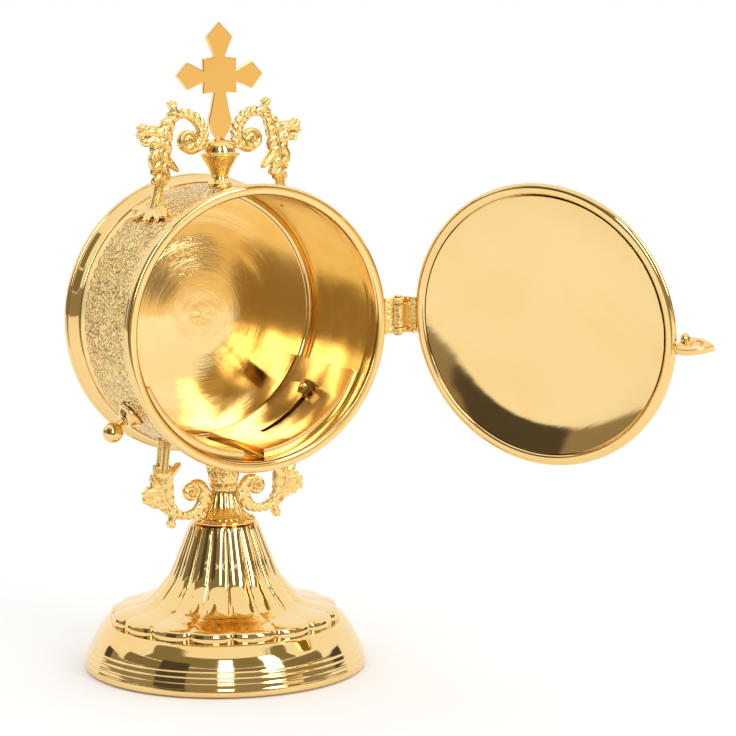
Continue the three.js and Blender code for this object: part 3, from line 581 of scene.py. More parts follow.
def mark_hollows(mesh, spread, passes=8):
    """Writes how far each point lies under its smoothed surroundings: the mask by which shade is painted into
    the hollows.
    """
    count = len(mesh.vertices)
    points = np.zeros(count * 3)
    mesh.vertices.foreach_get("co", points)
    points = points.reshape(-1, 3)
    normals = np.zeros(count * 3)
    mesh.vertices.foreach_get("normal", normals)
    normals = normals.reshape(-1, 3)
    edges = np.zeros(len(mesh.edges) * 2, int)
    mesh.edges.foreach_get("vertices", edges)
    first, second = edges.reshape(-1, 2).T
    degree = np.bincount(first, minlength=count) + np.bincount(second, minlength=count)
    eased_points = points.copy()
    for _ in range(passes):
        total = np.zeros_like(points)
        for axis in range(3):
            total[:, axis] = (np.bincount(first, eased_points[second, axis], count)
                              + np.bincount(second, eased_points[first, axis], count))
        eased_points = total / np.maximum(degree, 1)[:, None]
    depth = ((eased_points - points) * normals).sum(axis=1)
    hollow = np.clip(depth / spread, 0, 1)
    attribute = mesh.attributes.new("hollow", "FLOAT", "POINT")
    attribute.data.foreach_set("value", hollow)


# Geometry Nodes that repeat a form round an axis

class Growth:
    """A Geometry Nodes tree that is written as calls, with named inputs."""

    def __init__(self, name, inputs):
        self.tree = bpy.data.node_groups.new(name, "GeometryNodeTree")
        face = self.tree.interface
        face.new_socket("Geometry", in_out="INPUT", socket_type="NodeSocketGeometry")
        for label, kind in inputs:
            face.new_socket(label, in_out="INPUT", socket_type=kind)
        face.new_socket("Geometry", in_out="OUTPUT", socket_type="NodeSocketGeometry")
        self.inputs = self.tree.nodes.new("NodeGroupInput").outputs

    def node(self, kind, settings=None, sockets=None, out=0):
        made = self.tree.nodes.new(kind)
        for name, value in (settings or {}).items():
            setattr(made, name, value)
        for name, value in (sockets or {}).items():
            if isinstance(value, bpy.types.NodeSocket):
                self.tree.links.new(value, made.inputs[name])
            else:
                made.inputs[name].default_value = value
        return made.outputs[out]

    def maths(self, operation, *values):
        return self.node("ShaderNodeMath", {"operation": operation}, dict(enumerate(values)))

    def finished(self, geometry):
        real = self.node("GeometryNodeRealizeInstances", None, {"Geometry": geometry})
        coated = self.node("GeometryNodeSetMaterial", None, {
            "Geometry": real, "Material": self.inputs["Material"]})
        end = self.tree.nodes.new("NodeGroupOutput")
        self.tree.links.new(coated, end.inputs["Geometry"])

    def settings(self, **values):
        """Modifier settings, each input found by its socket's identifier."""
        found = {item.name.lower().replace(" ", "_"): item.identifier
                 for item in self.tree.interface.items_tree if item.in_out == "INPUT"}
        return {"node_group": self.tree, **{f"[{found[name]}]": value for name, value in values.items()}}


def flute_growth():
    """Draws a turned shell in to creases, as deep as its crease attribute says."""
    grow = Growth("Flutes", [("Lobes", "NodeSocketInt"), ("Centre X", "NodeSocketFloat"),
                             ("Centre Y", "NodeSocketFloat"), ("Material", "NodeSocketMaterial")])
    lobes, centre_x, centre_y = grow.inputs["Lobes"], grow.inputs["Centre X"], grow.inputs["Centre Y"]
    split = grow.node("ShaderNodeSeparateXYZ", None, {0: grow.node("GeometryNodeInputPosition")})
    x = grow.maths("SUBTRACT", split, centre_x)
    y = grow.maths("SUBTRACT", split.node.outputs[1], centre_y)
    turn = grow.maths("ARCTAN2", y, x)
    half_waves = grow.maths("MULTIPLY", turn, grow.maths("DIVIDE", lobes, 2.0))
    wave = grow.maths("ABSOLUTE", grow.maths("SINE", half_waves))
    dip = grow.maths("SUBTRACT", 1.0, grow.maths("POWER", wave, 0.55))
    crease = grow.node("GeometryNodeInputNamedAttribute", {"data_type": "FLOAT"}, {"Name": "crease"})
    depth = grow.maths("MULTIPLY", dip, crease)
    inward = grow.node("ShaderNodeVectorMath", {"operation": "NORMALIZE"},
                       {0: grow.node("ShaderNodeCombineXYZ", None, {0: x, 1: y, 2: 0.0})})
    offset = grow.node("ShaderNodeVectorMath", {"operation": "SCALE"},
                       {0: inward, "Scale": grow.maths("MULTIPLY", depth, -1.0)})
    moved = grow.node("GeometryNodeSetPosition", None, {
        "Geometry": grow.inputs["Geometry"], "Offset": offset})
    grow.finished(moved)
    return grow


def panel_growth():
    """Repeats one panel round the drum's axis and joins the copies along their edges."""
    grow = Growth("Panels Round The Drum", [("Copies", "NodeSocketInt"), ("Axis", "NodeSocketVector"),
                                            ("Material", "NodeSocketMaterial")])
    copies = grow.inputs["Copies"]
    line = grow.node("GeometryNodeMeshLine", {"mode": "OFFSET"}, {"Count": copies, "Offset": (0.0, 0.0, 0.0)})
    index = grow.node("GeometryNodeInputIndex")
    step = grow.maths("DIVIDE", 2 * math.pi, copies)
    angle = grow.maths("MULTIPLY", index, step)
    turn = grow.node("ShaderNodeCombineXYZ", None, {0: 0.0, 1: angle, 2: 0.0})
    back = grow.node("ShaderNodeVectorMath", {"operation": "SCALE"}, {0: grow.inputs["Axis"], "Scale": -1.0})
    centred = grow.node("GeometryNodeTransform", None, {
        "Geometry": grow.inputs["Geometry"], "Translation": back})
    spread = grow.node("GeometryNodeInstanceOnPoints", None, {
        "Points": line, "Instance": centred, "Rotation": turn})
    real = grow.node("GeometryNodeRealizeInstances", None, {"Geometry": spread})
    home = grow.node("GeometryNodeTransform", None, {"Geometry": real, "Translation": grow.inputs["Axis"]})
    joined = grow.node("GeometryNodeMergeByDistance", None, {"Geometry": home, "Distance": 4e-6})
    grow.finished(joined)
    return grow


def fluted_piece(name, profile, creases, lobes, per_lobe, material, node):
    """A turned shell whose rows have their own crease depths, fluted by the tree."""
    points, faces = turned(profile, lobes * per_lobe)
    mesh = bpy.data.meshes.new(name)
    mesh.from_pydata(to_frame(points).tolist(), [], faces.tolist())
    crease = mesh.attributes.new("crease", "FLOAT", "POINT")
    crease.data.foreach_set("value", np.repeat(creases, lobes * per_lobe))
    grow = flute_growth()
    fluting = grow.settings(lobes=lobes, centre_x=AXIS.x, centre_y=AXIS.y, material=material)
    mesh = mended(modified(mesh, ("NODES", fluting)))
    placed(name, mesh, material, "stand", node, 40.0)


# Pieces

def centre_of_drum():
    return (AXIS.x, AXIS.y, DRUM_AXIS * MM)


def spun(name):
    return polished_gold(name, tuple(AXIS), "Z")


def spun_on_drum(name):
    return polished_gold(name, centre_of_drum(), "Y")


class LUNA_OT_foot_base(bpy.types.Operator):
    """Spin the foot's broad band, its three thin steps and the rolled rim"""
    bl_idname = "luna.foot_base"
    bl_label = "Foot Base"
    bl_options = {"REGISTER", "UNDO"}

    def execute(self, context):
        r, h, wall = FOOT_R, FOOT_H, 1.3
        hem = BELL_HEM_R
        profile = eased([
            (hem - 4, h, 0.1), (hem + 1.1, h, 0.3), (hem + 2.1, h - 0.6, 0.5), (r - 5.5, h - 2.6, 1.4),
            (r - 4.1, h - 4.6, 1.6), (r - 2.9, h - 7.4, 0.9), (r - 2.65, 9.0, 0.3), (r - 2.15, 8.6, 0.3),
            (r - 1.85, 7.2, 0.3), (r - 1.35, 6.8, 0.25), (r - 1.05, 5.3, 0.3), (r - 0.7, 4.9, 0.25),
            (r - 0.45, 3.4, 0.3), (r - 0.2, 3.0, 0.2), (r - 0.02, 1.6, 0.3), (r - 0.1, 0.9, 0.3),
            (r - 1, 0.35, 0.4), (r - 2.6, 0.1, 0.6), (r - 4.2, 0, 0.7),
            (r - 6.6, 0, 0.3), (r - 3.1 - wall, 5, 1.5), (r - 5.6 - wall, h - 4.4, 1.5),
            (hem + 0.6, h - wall, 0.6), (hem - 4, h - wall, 0.1)], steps=5)
        points, faces = turned(profile, 224)
        made_piece("foot_base_spun", points, faces, spun("Spun foot"), "foot_base", sharp=50.0)
        return {"FINISHED"}


class LUNA_OT_bell(bpy.types.Operator):
    """Raise the fluted bell with its scalloped hem"""
    bl_idname = "luna.bell"
    bl_label = "Fluted Bell"
    bl_options = {"REGISTER", "UNDO"}

    def execute(self, context):
        hem, top_r, wall, top_t = BELL_HEM_R, 12.2, 1.1, 1.3
        shallowest, inner_step = 0.22, 4
        drop, spread = BELL_TOP - FOOT_H, hem - top_r
        sweep = [(0, 0), (0.05, 0.11), (0.108, 0.232), (0.155, 0.33), (0.198, 0.423), (0.267, 0.548),
                 (0.351, 0.64), (0.431, 0.719), (0.545, 0.806), (0.62, 0.83), (0.694, 0.849), (0.78, 0.862),
                 (0.861, 0.875), (0.93, 0.888), (0.979, 0.91), (0.998, 0.95), (1.0, 1.0)]
        line = smooth_line(sweep, 84)
        out, down = line[:, 0], line[:, 1]
        outer = np.stack([top_r + spread * out, BELL_TOP - drop * down], axis=1)
        share = shallowest + (1 - shallowest) * out ** 0.8
        crease = shapes().bell_crease * share * np.clip(down / 0.03, 0, 1)
        inner = outer[::-inner_step][1:] + [-wall, -0.4]
        inner[:, 1] = np.clip(inner[:, 1], FOOT_H + 0.2, BELL_TOP - top_t)
        inner = np.vstack([[hem - 2.6, FOOT_H], inner])
        inner_crease = np.append(crease[-1], crease[::-inner_step][1:])
        profile = np.vstack([[ROD_HOLE_R, BELL_TOP], [top_r - 1.6, BELL_TOP], outer, inner,
                             [ROD_HOLE_R, BELL_TOP - top_t]])
        creases = np.concatenate([[0, 0], crease, inner_crease, [0]])
        fluted_piece("bell_fluted", profile, creases, shapes().bell_lobes, 20, polished_gold("Fluted bell"),
                     "foot_bell")
        return {"FINISHED"}


class LUNA_OT_stem(bpy.types.Operator):
    """Stack the bead ring, the fluted neck, its collar and the saddle"""
    bl_idname = "luna.stem"
    bl_label = "Stem"
    bl_options = {"REGISTER", "UNDO"}

    def execute(self, context):
        hole = ROD_HOLE_R
        bead = eased([(hole, BELL_TOP, 0.05), (10.4, BELL_TOP, 0.1), (10.8, BELL_TOP + 0.3, 0.2),
                      (BEAD_R, BELL_TOP + 0.65, 0.6), (BEAD_R, BEAD_TOP - 0.7, 0.6),
                      (10.75, BEAD_TOP - 0.3, 0.2), (10.3, BEAD_TOP, 0.1), (hole, BEAD_TOP, 0.05)])
        points, faces = turned(bead, 128)
        made_piece("bead_ring", points, faces, spun("Spun bead"), "foot_bead")
        self.make_neck()
        collar = eased([(hole, NECK_TOP, 0.05), (4.7, NECK_TOP, 0.1), (5.3, NECK_TOP + 0.4, 0.4),
                        (5.3, COLLAR_TOP - 0.4, 0.4), (4.8, COLLAR_TOP, 0.15), (hole, COLLAR_TOP, 0.05)])
        points, faces = turned(collar, 112)
        made_piece("neck_collar_ring", points, faces, spun("Spun collar"), "neck_collar")
        self.make_saddle()
        return {"FINISHED"}

    @staticmethod
    def make_neck():
        rise = NECK_TOP - BEAD_TOP
        line = smooth_line([(0, 1), (0.035, 0.99), (0.07, 0.87), (0.2, 0.57), (0.39, 0.32), (0.64, 0.13),
                            (0.9, 0.0), (1, 0.0)], 40)
        outer = np.stack([4.5 + 4.7 * line[:, 1], BEAD_TOP + rise * line[:, 0]], axis=1)
        profile = np.vstack([[ROD_HOLE_R, BEAD_TOP], outer, [ROD_HOLE_R, NECK_TOP]])
        creases = np.full(len(profile), shapes().neck_crease)
        creases[[0, -1]] = 0
        fluted_piece("neck_fluted", profile, creases, shapes().neck_lobes, 14,
                     polished_gold("Fluted neck"), "neck")

    @staticmethod
    def make_saddle():
        """The saddle's top follows the drum, so its rings climb from flat to curved."""
        facets, rings = 96, 26
        lobe_depth, lobe_count, twist = 0.05, 16, 30
        turn = np.linspace(0, 2 * math.pi, facets, endpoint=False)
        profile = smooth_line([(4.7, 0), (5.2, 0.06), (5.3, 0.2), (5.7, 0.42), (6.3, 0.66), (7.0, 0.84),
                               (7.2, 0.95), (7.0, 1.0)], rings)
        seat = BAND_R + GAP
        rows = [np.stack([np.zeros(facets), np.zeros(facets), np.full(facets, COLLAR_TOP)], axis=1)]
        for r, up in zip(profile[:, 0], np.clip(profile[:, 1], 0, 1)):
            swell = lobe_depth * math.sin(math.pi * min(up * 1.15, 1))
            lobed = r * (1 + swell * np.cos(lobe_count * turn + twist * up))
            x, y = lobed * np.cos(turn), lobed * np.sin(turn)
            top = DRUM_AXIS - np.sqrt(seat ** 2 - x ** 2)
            rows.append(np.stack([x, y, COLLAR_TOP + (top - COLLAR_TOP) * up], axis=1))
        for r in (4.5, 2.2, 0.0):
            x, y = r * np.cos(turn), r * np.sin(turn)
            rows.append(np.stack([x, y, DRUM_AXIS - np.sqrt(seat ** 2 - x ** 2)], axis=1))
        points = np.vstack(rows)
        made_piece("drum_saddle_cast", points, grid_faces(len(rows), facets, False),
                   cast_gold("Cast saddle", False, 0.5, 0.14), "drum_saddle")


class LUNA_OT_tie(bpy.types.Operator):
    """Gild the tie rod, its washer and its nut inside the foot"""
    bl_idname = "luna.tie"
    bl_label = "Tie Rod And Nut"
    bl_options = {"REGISTER", "UNDO"}

    def execute(self, context):
        gold = polished_gold("Tie fittings", roughness=0.2)
        for node in ("tie_rod", "tie_washer", "tie_nut"):
            mesh = frame["nodes"][node].data
            mesh.materials.clear()
            mesh.materials.append(gold)
        return {"FINISHED"}


def scrollwork(across, along, wide):
    """Height of one panel's curling foliage, which repeats across its width, and where there is foliage."""
    maker = np.random.default_rng(17)
    rows, per_row, pitch, forward = 3, 4, 10.2, 1.4
    leafy_front, leafy_back, fade = -16.6, 13.9, 0.7
    nearest, second = np.full_like(across, 9.0), np.full_like(across, 9.0)
    height = np.zeros_like(across)
    for row in range(rows):
        for step in range(per_row):
            cx = (step + 0.5 * (row % 2) + maker.uniform(-0.2, 0.2)) * wide / per_row
            cy = (row + 0.5 - rows / 2) * pitch + maker.uniform(-1.2, 1.2) - forward
            size, hand, start = maker.uniform(4.2, 6.2), maker.choice((-1, 1)), maker.uniform(0, 1)
            dx = (across - cx + wide / 2) % wide - wide / 2
            dy = (along - cy) * 0.6
            angle = np.arctan2(dy, dx)
            reach = np.hypot(dx, dy) / size * (1 + 0.1 * np.cos(5 * angle + 6 * start))
            lane = (reach * maker.uniform(1.9, 2.7) - hand * angle / (2 * math.pi) - start) % 1.0
            notch = 0.82 + 0.18 * np.clip(np.cos(angle * 11 + hand * reach * 9) * 3, -1, 1)
            curl = (4 * lane * (1 - lane)) ** 0.55 * notch
            inside = reach < nearest
            second = np.where(inside, nearest, np.minimum(second, reach))
            height = np.where(inside, curl, height)
            nearest = np.where(inside, reach, nearest)
    border = np.clip((second - nearest) / 0.24, 0, 1) ** 0.6
    ruffle = (0.5 * np.sin(across * 2 * math.pi * 9 / wide)
              + 0.35 * np.sin(across * 2 * math.pi * 23 / wide + 1))
    edge = (np.clip((along - leafy_front + ruffle) / fade, 0, 1)
            * np.clip((leafy_back + ruffle - along) / fade, 0, 1))
    return height * border, edge


class LUNA_OT_band(bpy.types.Operator):
    """Emboss one panel of scrollwork and repeat it round the drum"""
    bl_idname = "luna.band"
    bl_label = "Embossed Band"
    bl_options = {"REGISTER", "UNDO"}

    def execute(self, context):
        copies = shapes().panels
        wide = 2 * math.pi * BAND_R / copies
        columns_round, rows = 880, 104
        columns = columns_round // copies
        turn = np.linspace(0, 2 * math.pi / copies, columns + 1)
        along = np.linspace(BAND_FRONT, BAND_BACK, rows)
        turn_grid, along_grid = np.meshgrid(turn, along)
        height, edge = scrollwork(turn_grid * BAND_R, along_grid - (BAND_FRONT + BAND_BACK) / 2, wide)
        relief = shapes().relief / MM
        margin_below, foliage_above = 0.05, 0.25
        outer = BAND_R - margin_below + edge * (foliage_above - relief * (1 - height))
        inner = np.full_like(outer[:2], BAND_INNER_R)
        radius = np.vstack([outer, inner])
        reach = GAP - 0.03
        y = np.vstack([along_grid, [np.full(columns + 1, BAND_BACK + reach),
                                    np.full(columns + 1, BAND_FRONT - reach)]])
        angle = np.vstack([turn_grid, turn_grid[:2]])
        points = np.stack([radius * np.cos(angle), y, DRUM_AXIS + radius * np.sin(angle)], axis=-1)
        mesh = bpy.data.meshes.new("panel")
        faces = sheet_faces(rows + 2, columns + 1, wrap_rows=True)
        mesh.from_pydata(to_frame(points.reshape(-1, 3)).tolist(), [], faces.tolist())
        plain_wall = np.zeros_like(inner)
        # The hollow values paint shade into the relief's low parts. The foliage values mark where the strokes
        # are chased.
        for name, values in (("hollow", np.vstack([(1 - height) * edge, plain_wall]) ** 1.6 * 0.8),
                             ("foliage", np.vstack([edge, plain_wall]))):
            mesh.attributes.new(name, "FLOAT", "POINT").data.foreach_set("value", values.ravel())
        gold = embossed_gold("Embossed band")
        repeats = panel_growth().settings(copies=copies, axis=centre_of_drum(), material=gold)
        mesh = mended(modified(mesh, ("NODES", repeats)))
        placed("drum_band_embossed", mesh, gold, "stand", "drum_band", 60.0)
        return {"FINISHED"}


class LUNA_OT_rings(bpy.types.Operator):
    """Turn the drum's front and rear rings"""
    bl_idname = "luna.rings"
    bl_label = "Drum Rings"
    bl_options = {"REGISTER", "UNDO"}

    def execute(self, context):
        inner, skirt, ring = BAND_INNER_R, BAND_R + GAP, RING_R
        back, front = BAND_FRONT - GAP, DRUM_FRONT
        profile = eased([
            (inner, back, 0.05), (inner, front + 1.0, 0.6), (inner + 0.7, front + 0.15, 0.4),
            (ring - 1.0, front, 0.5), (ring - 0.1, front + 0.7, 0.7), (ring, front + 2.0, 0.8),
            (ring - 0.5, front + 3.1, 0.3), (ring - 1.25, front + 3.5, 0.2), (ring - 1.05, front + 4.3, 0.4),
            (ring - 0.9, front + 5.4, 0.4), (skirt + 0.75, front + 5.9, 0.2), (skirt + 0.6, front + 6.4, 0.2),
            (skirt + 0.7, front + 7.2, 0.3), (skirt + 0.3, back + 1.9, 0.3), (skirt - GAP, back + 2.2, 0.05),
            (skirt - GAP, back, 0.05)], steps=5)
        points, faces = turned(profile, 224, "Y")
        made_piece("front_ring_turned", points, faces, spun_on_drum("Turned front ring"), "front_ring",
                   sharp=50.0)
        front, back, seat = BAND_BACK + GAP, DRUM_BACK, PLATE_FACE + PLATE_T
        profile = eased([
            (inner, front, 0.05), (skirt - GAP, front, 0.05), (skirt - GAP, front - 2.2, 0.05),
            (skirt + 0.15, front - 2.0, 0.25), (skirt + 0.4, front - 0.6, 0.4),
            (skirt + 0.65, front + 0.2, 0.3), (ring - 1.2, front + 1.3, 0.5), (ring - 0.6, front + 2.4, 0.4),
            (ring - 0.65, front + 3.1, 0.25), (ring, back - 3.0, 0.9), (ring, back - 1.3, 0.9),
            (ring - 0.9, back - 0.05, 0.7), (inner - 1.6, back, 0.5), (inner - 2.2, back - 0.8, 0.5),
            (inner - 2.2, seat, 0.05), (inner, seat, 0.05)], steps=5)
        points, faces = turned(profile, 224, "Y")
        made_piece("rear_ring_turned", points, faces, spun_on_drum("Turned rear ring"), "rear_ring",
                   sharp=50.0)
        return {"FINISHED"}


class LUNA_OT_back_plate(bpy.types.Operator):
    """Spin the polished back plate with its shallow rings"""
    bl_idname = "luna.back_plate"
    bl_label = "Back Plate"
    bl_options = {"REGISTER", "UNDO"}

    def execute(self, context):
        edge, face = BAND_INNER_R - 0.04, PLATE_FACE
        radius = np.linspace(0, edge - 0.4, 140)
        slope = np.interp(radius, [0, 10, 15, 27, 31, 34, 44], [0, 0.005, 0.095, 0.11, 0.03, -0.03, -0.035])
        fall = np.concatenate([[0], np.cumsum(slope[1:] * np.diff(radius))])
        rows = [(r, face + down - fall[-1]) for r, down in zip(radius, fall)]
        rows = [row for row in rows if row[0] < edge - 2.3]
        rows += [(edge - 2.2, face), (edge - 2.0, face - 0.35), (edge - 1.6, face - 0.6),
                 (edge - 1.1, face - 0.68), (edge - 0.7, face - 0.5), (edge - 0.4, face - 0.15),
                 (edge - 0.2, face), (edge, face + 0.1), (edge, face + PLATE_T), (0, face + PLATE_T)]
        points, faces = turned(np.array(rows), 192, "Y", closed=False)
        gold = brushed_gold("Spun back plate", centre_of_drum(), strength=0.3, scribed=0.0039)
        made_piece("back_plate_spun", points, faces, gold, "back_plate", sharp=25.0)
        return {"FINISHED"}


# Cast scrolls, the right-hand ones. A line's stops are (x, height from the drum's axis, half width), a
# winding is (turns, start in radians), and the leafy and ribbed spans are counted in the arch's stops.

UPPER_SCROLL = {
    "arch": [
        (13.6, 60.6, 1.2), (11.0, 60.0, 1.6), (8.4, 61.2, 1.8), (6.8, 63.8, 1.8), (6.9, 67.2, 1.7),
        (8.8, 70.4, 1.6), (12.0, 72.4, 1.5), (15.6, 72.8, 1.5), (18.5, 71.4, 1.8), (20.4, 68.2, 2.6),
        (21.9, 64.4, 3.3), (22.9, 60.0, 3.3), (23.2, 55.5, 2.8), (23.3, 51.0, 2.1), (23.7, 47.0, 1.8),
        (24.6, 43.5, 1.8), (25.8, 39.2, 2.1)],
    "eye": (12.5, 63.2, 4.0),
    "winding": (-1.5, 2.6),
    "leafy": (7.6, 13),
    "ribbed": (13, 16),
    "leaves": [
        [(16.6, 72.5, 1.3), (17.6, 74.4, 1.2), (18.2, 76.0, 1.4)],
        [(21.0, 66.0, 1.8), (25.4, 67.0, 2.1), (28.8, 67.0, 2.0), (30.6, 67.8, 1.0)],
        [(22.0, 63.0, 1.8), (25.8, 63.9, 2.0), (28.8, 63.4, 1.4)],
        [(22.0, 58.5, 2.2), (18.8, 55.4, 1.6), (16.2, 52.6, 0.3)],
        [(22.4, 55.0, 1.7), (20.7, 52.4, 1.1), (19.8, 50.0, 0.3)],
        [(24.0, 61.0, 1.8), (26.0, 57.5, 1.5), (26.2, 54.0, 0.5)]],
    "tips": [(18.2, 76.0, 1.5), (29.4, 67.9, 1.9), (30.4, 65.6, 1.3), (28.6, 63.3, 1.5)],
}
LOWER_SCROLL = {
    "arch": [
        (12.8, -57.2, 1.2), (9.6, -57.8, 1.8), (7.8, -60.4, 2.1), (8.0, -64.4, 2.0), (10.4, -67.2, 1.5),
        (13.4, -68.4, 1.2), (17.0, -68.2, 1.3), (19.9, -66.6, 1.9), (22.3, -63.8, 3.2), (24.0, -60.8, 4.3),
        (24.5, -57.0, 3.6), (24.0, -53.0, 2.8), (23.6, -48.4, 2.5), (23.1, -44.0, 2.6), (22.8, -40.4, 2.6)],
    "eye": (12.9, -60.2, 3.3),
    "winding": (1.5, 2.0),
    "leafy": (6.2, 11),
    "ribbed": (11, 14),
    "leaves": [
        [(19.8, -67.0, 1.4), (20.6, -69.4, 1.2), (21.0, -71.3, 1.4)],
        [(24.6, -58.6, 1.9), (28.2, -58.3, 1.8), (30.6, -59.2, 1.0)],
        [(24.4, -61.6, 1.9), (28.0, -62.0, 1.8), (30.4, -62.0, 1.0)],
        [(23.0, -54.8, 1.8), (19.8, -52.2, 1.3), (16.9, -49.2, 0.3)]],
    "tips": [(20.9, -71.0, 1.4), (30.0, -59.6, 1.5), (30.0, -61.9, 1.3), (27.6, -63.4, 1.3)],
}
# Leafy foot of an upper scroll: [degrees round the drum, y, half width]
SPRAY = [
    [(58, 0, 2.4), (56.5, -5, 2.9), (55, -10.5, 2.2), (54.5, -13.6, 0.7)],
    [(58, 0, 2.4), (56.5, 5, 2.7), (55.5, 10, 2.0), (55, 12.6, 0.6)],
    [(58, -1, 2.6), (54, -2.5, 2.9), (49.4, -5, 0.9)],
    [(57, 1, 2.2), (53.5, 3.5, 2.3), (50, 7, 0.7)],
    [(57, -3, 1.8), (54.5, -8, 1.6), (51.0, -11.5, 0.6)]]


def blob(centre, radii, rows=8, facets=12):
    """A small closed lump."""
    tilt = np.linspace(0, math.pi, rows + 1)
    turn = np.linspace(0, 2 * math.pi, facets, endpoint=False)
    points = [[centre[0] + radii[0] * math.sin(t) * math.cos(a),
               centre[1] + radii[1] * math.sin(t) * math.sin(a),
               centre[2] + radii[2] * math.cos(t)] for t in tilt[1:-1] for a in turn]
    faces = [tuple(face) for face in grid_faces(rows - 1, facets, False)]
    faces += [tuple(range(facets)), tuple(range((rows - 2) * facets, (rows - 1) * facets))]
    return points, faces


def disc(centre, radius, half_depth):
    """A flat round boss across the scroll."""
    profile = eased([(0.0, -half_depth), (radius - 0.2, -half_depth, 0.5), (radius, 0.0, 0.3),
                     (radius - 0.2, half_depth, 0.5), (0.0, half_depth)], closed=False)
    points, faces = turned(profile, 40, "Y", closed=False)
    return points + [centre[0], 0, centre[1] - DRUM_AXIS], faces


def spiral_ridge(centre, radius, half_depth, turns, start):
    """The raised line that winds in to the eye, on both faces of a volute."""
    parts = []
    for face in (-1, 1):
        stops = []
        for share in np.linspace(0, 1, 30):
            turn = start + turns * 2 * math.pi * share
            reach = radius * (1 - share) ** 0.8 + 0.35
            stops.append((centre[0] + reach * math.cos(turn), face * half_depth,
                          centre[1] + reach * math.sin(turn), 0.62 - 0.2 * share))
        parts.append(swept(stops, 0.42, 90, 8))
    return parts


def member_line(arch, first, last, count):
    """Points, half widths, directions and outward directions along part of a member, counted in its stops."""
    line = smooth_line(arch, 40 * len(arch))
    tangent = np.gradient(line[:, :2], axis=0)
    tangent /= np.linalg.norm(tangent, axis=1, keepdims=True)
    at = (np.linspace(first, last, count) / (len(arch) - 1) * (len(line) - 1)).astype(int)
    return line[at], tangent[at], np.stack([-tangent[at, 1], tangent[at, 0]], axis=1)


def leaflets(arch, first, last, pitch, lift, maker):
    """Leaflets that spring from a member's rib and lap over each other down it, on both faces."""
    line, _, _ = member_line(arch, first, last, 80)
    length = np.linalg.norm(np.diff(line[:, :2], axis=0), axis=1).sum()
    parts = []
    for (x, z, half), run, out in zip(*member_line(arch, first, last, max(int(length / pitch), 2))):
        rib = np.array([x, z])
        for hand in (-1, 1):
            size = maker.uniform(0.92, 1.08)
            base = rib + out * hand * half * 0.1 - run * 1.2
            middle = rib + out * hand * half * 0.5 + run * half * 0.1
            bend = rib + out * hand * half * 0.86 * size + run * half * 0.6
            tip = rib + out * hand * (half + 0.15) * size + run * half * 1.2
            for face in (-1, 1):
                stops = [(base[0], face * 0.95, base[1], 0.5),
                         (middle[0], face * lift, middle[1], 0.4 * half + 0.2),
                         (bend[0], face * (lift - 0.2), bend[1], 0.34 * half + 0.15),
                         (tip[0], face * 0.75, tip[1], 0.25)]
                parts.append(swept(stops, 0.5, 11, 10))
    return parts


def ribs(arch, first, last, offsets, half_width):
    """Lengthwise ridges on both faces of a member."""
    line, _, outward = member_line(arch, first, last, 14)
    parts = []
    for offset in offsets:
        for face in (-1, 1):
            stops = [(x + out[0] * half * offset, face * 1.35 * math.sqrt(1 - 0.6 * offset ** 2),
                      z + out[1] * half * offset, half_width) for (x, z, half), out in zip(line, outward)]
            parts.append(swept(stops, 0.42, 50, 8))
    return parts


def cast_scroll(side, name, node, form, material, extra=None):
    """One bracket, mirrored to its side. The extra parts already stand in their place."""
    maker = np.random.default_rng(5)
    arch, eye, eye_r = form["arch"], form["eye"][:2], form["eye"][2]
    parts = [swept([(x, 0, z, half) for x, z, half in arch], 1.4, 150, 18), disc(eye, eye_r, 1.25)]
    parts += spiral_ridge(eye, eye_r - 0.85, 1.3, *form["winding"])
    for leaf in form["leaves"]:
        parts.append(swept([(x, 0, z, half) for x, z, half in leaf], 1.3, 16, 12))
        parts += ribs(leaf, 0.1, len(leaf) - 1.15, (-0.5, 0.0, 0.5), 0.36)
    for x, z, size in form["tips"]:
        parts.append(blob((x, 0, z), (size, 1.5, size)))
        for turn in np.linspace(0.4, 2 * math.pi + 0.4, 5, endpoint=False):
            lobe_x, lobe_z = x + size * 0.66 * math.cos(turn), z + size * 0.66 * math.sin(turn)
            for face in (-1, 1):
                parts.append(blob((lobe_x, face * 1.1, lobe_z), (size * 0.46, 0.7, size * 0.46), 6, 8))
    leafy = form["leafy"]
    parts += leaflets(arch, *leafy, 2.9, 1.25, maker)
    parts += leaflets(arch, 2.0, leafy[0], 1.8, 1.02, maker)
    parts += ribs(arch, *leafy, (0.0,), 0.5)
    parts += ribs(arch, *form["ribbed"], (-0.62, 0.0, 0.62), 0.34)
    points, faces = gathered(parts)
    points[:, 2] += DRUM_AXIS
    if extra:
        points, faces = gathered([(points, faces), *extra])
    points[:, 0] *= side
    mesh = modified(raw_mesh(name, to_frame(points), faces),
                    ("REMESH", {"mode": "VOXEL", "voxel_size": shapes().cast_grain}),
                    ("SMOOTH", {"factor": 0.5, "iterations": 3}))
    # Mask for the painted shade in the casting's hollows.
    mark_hollows(mesh, 0.00016)
    placed(name, mesh, material, "stand", node, 70.0)


def on_band(angle, y, lift=0.0):
    """A place over the band, counted in degrees round the drum."""
    turn, radius = math.radians(angle), BAND_R + GAP + lift
    return (radius * math.cos(turn), y, DRUM_AXIS + radius * math.sin(turn))


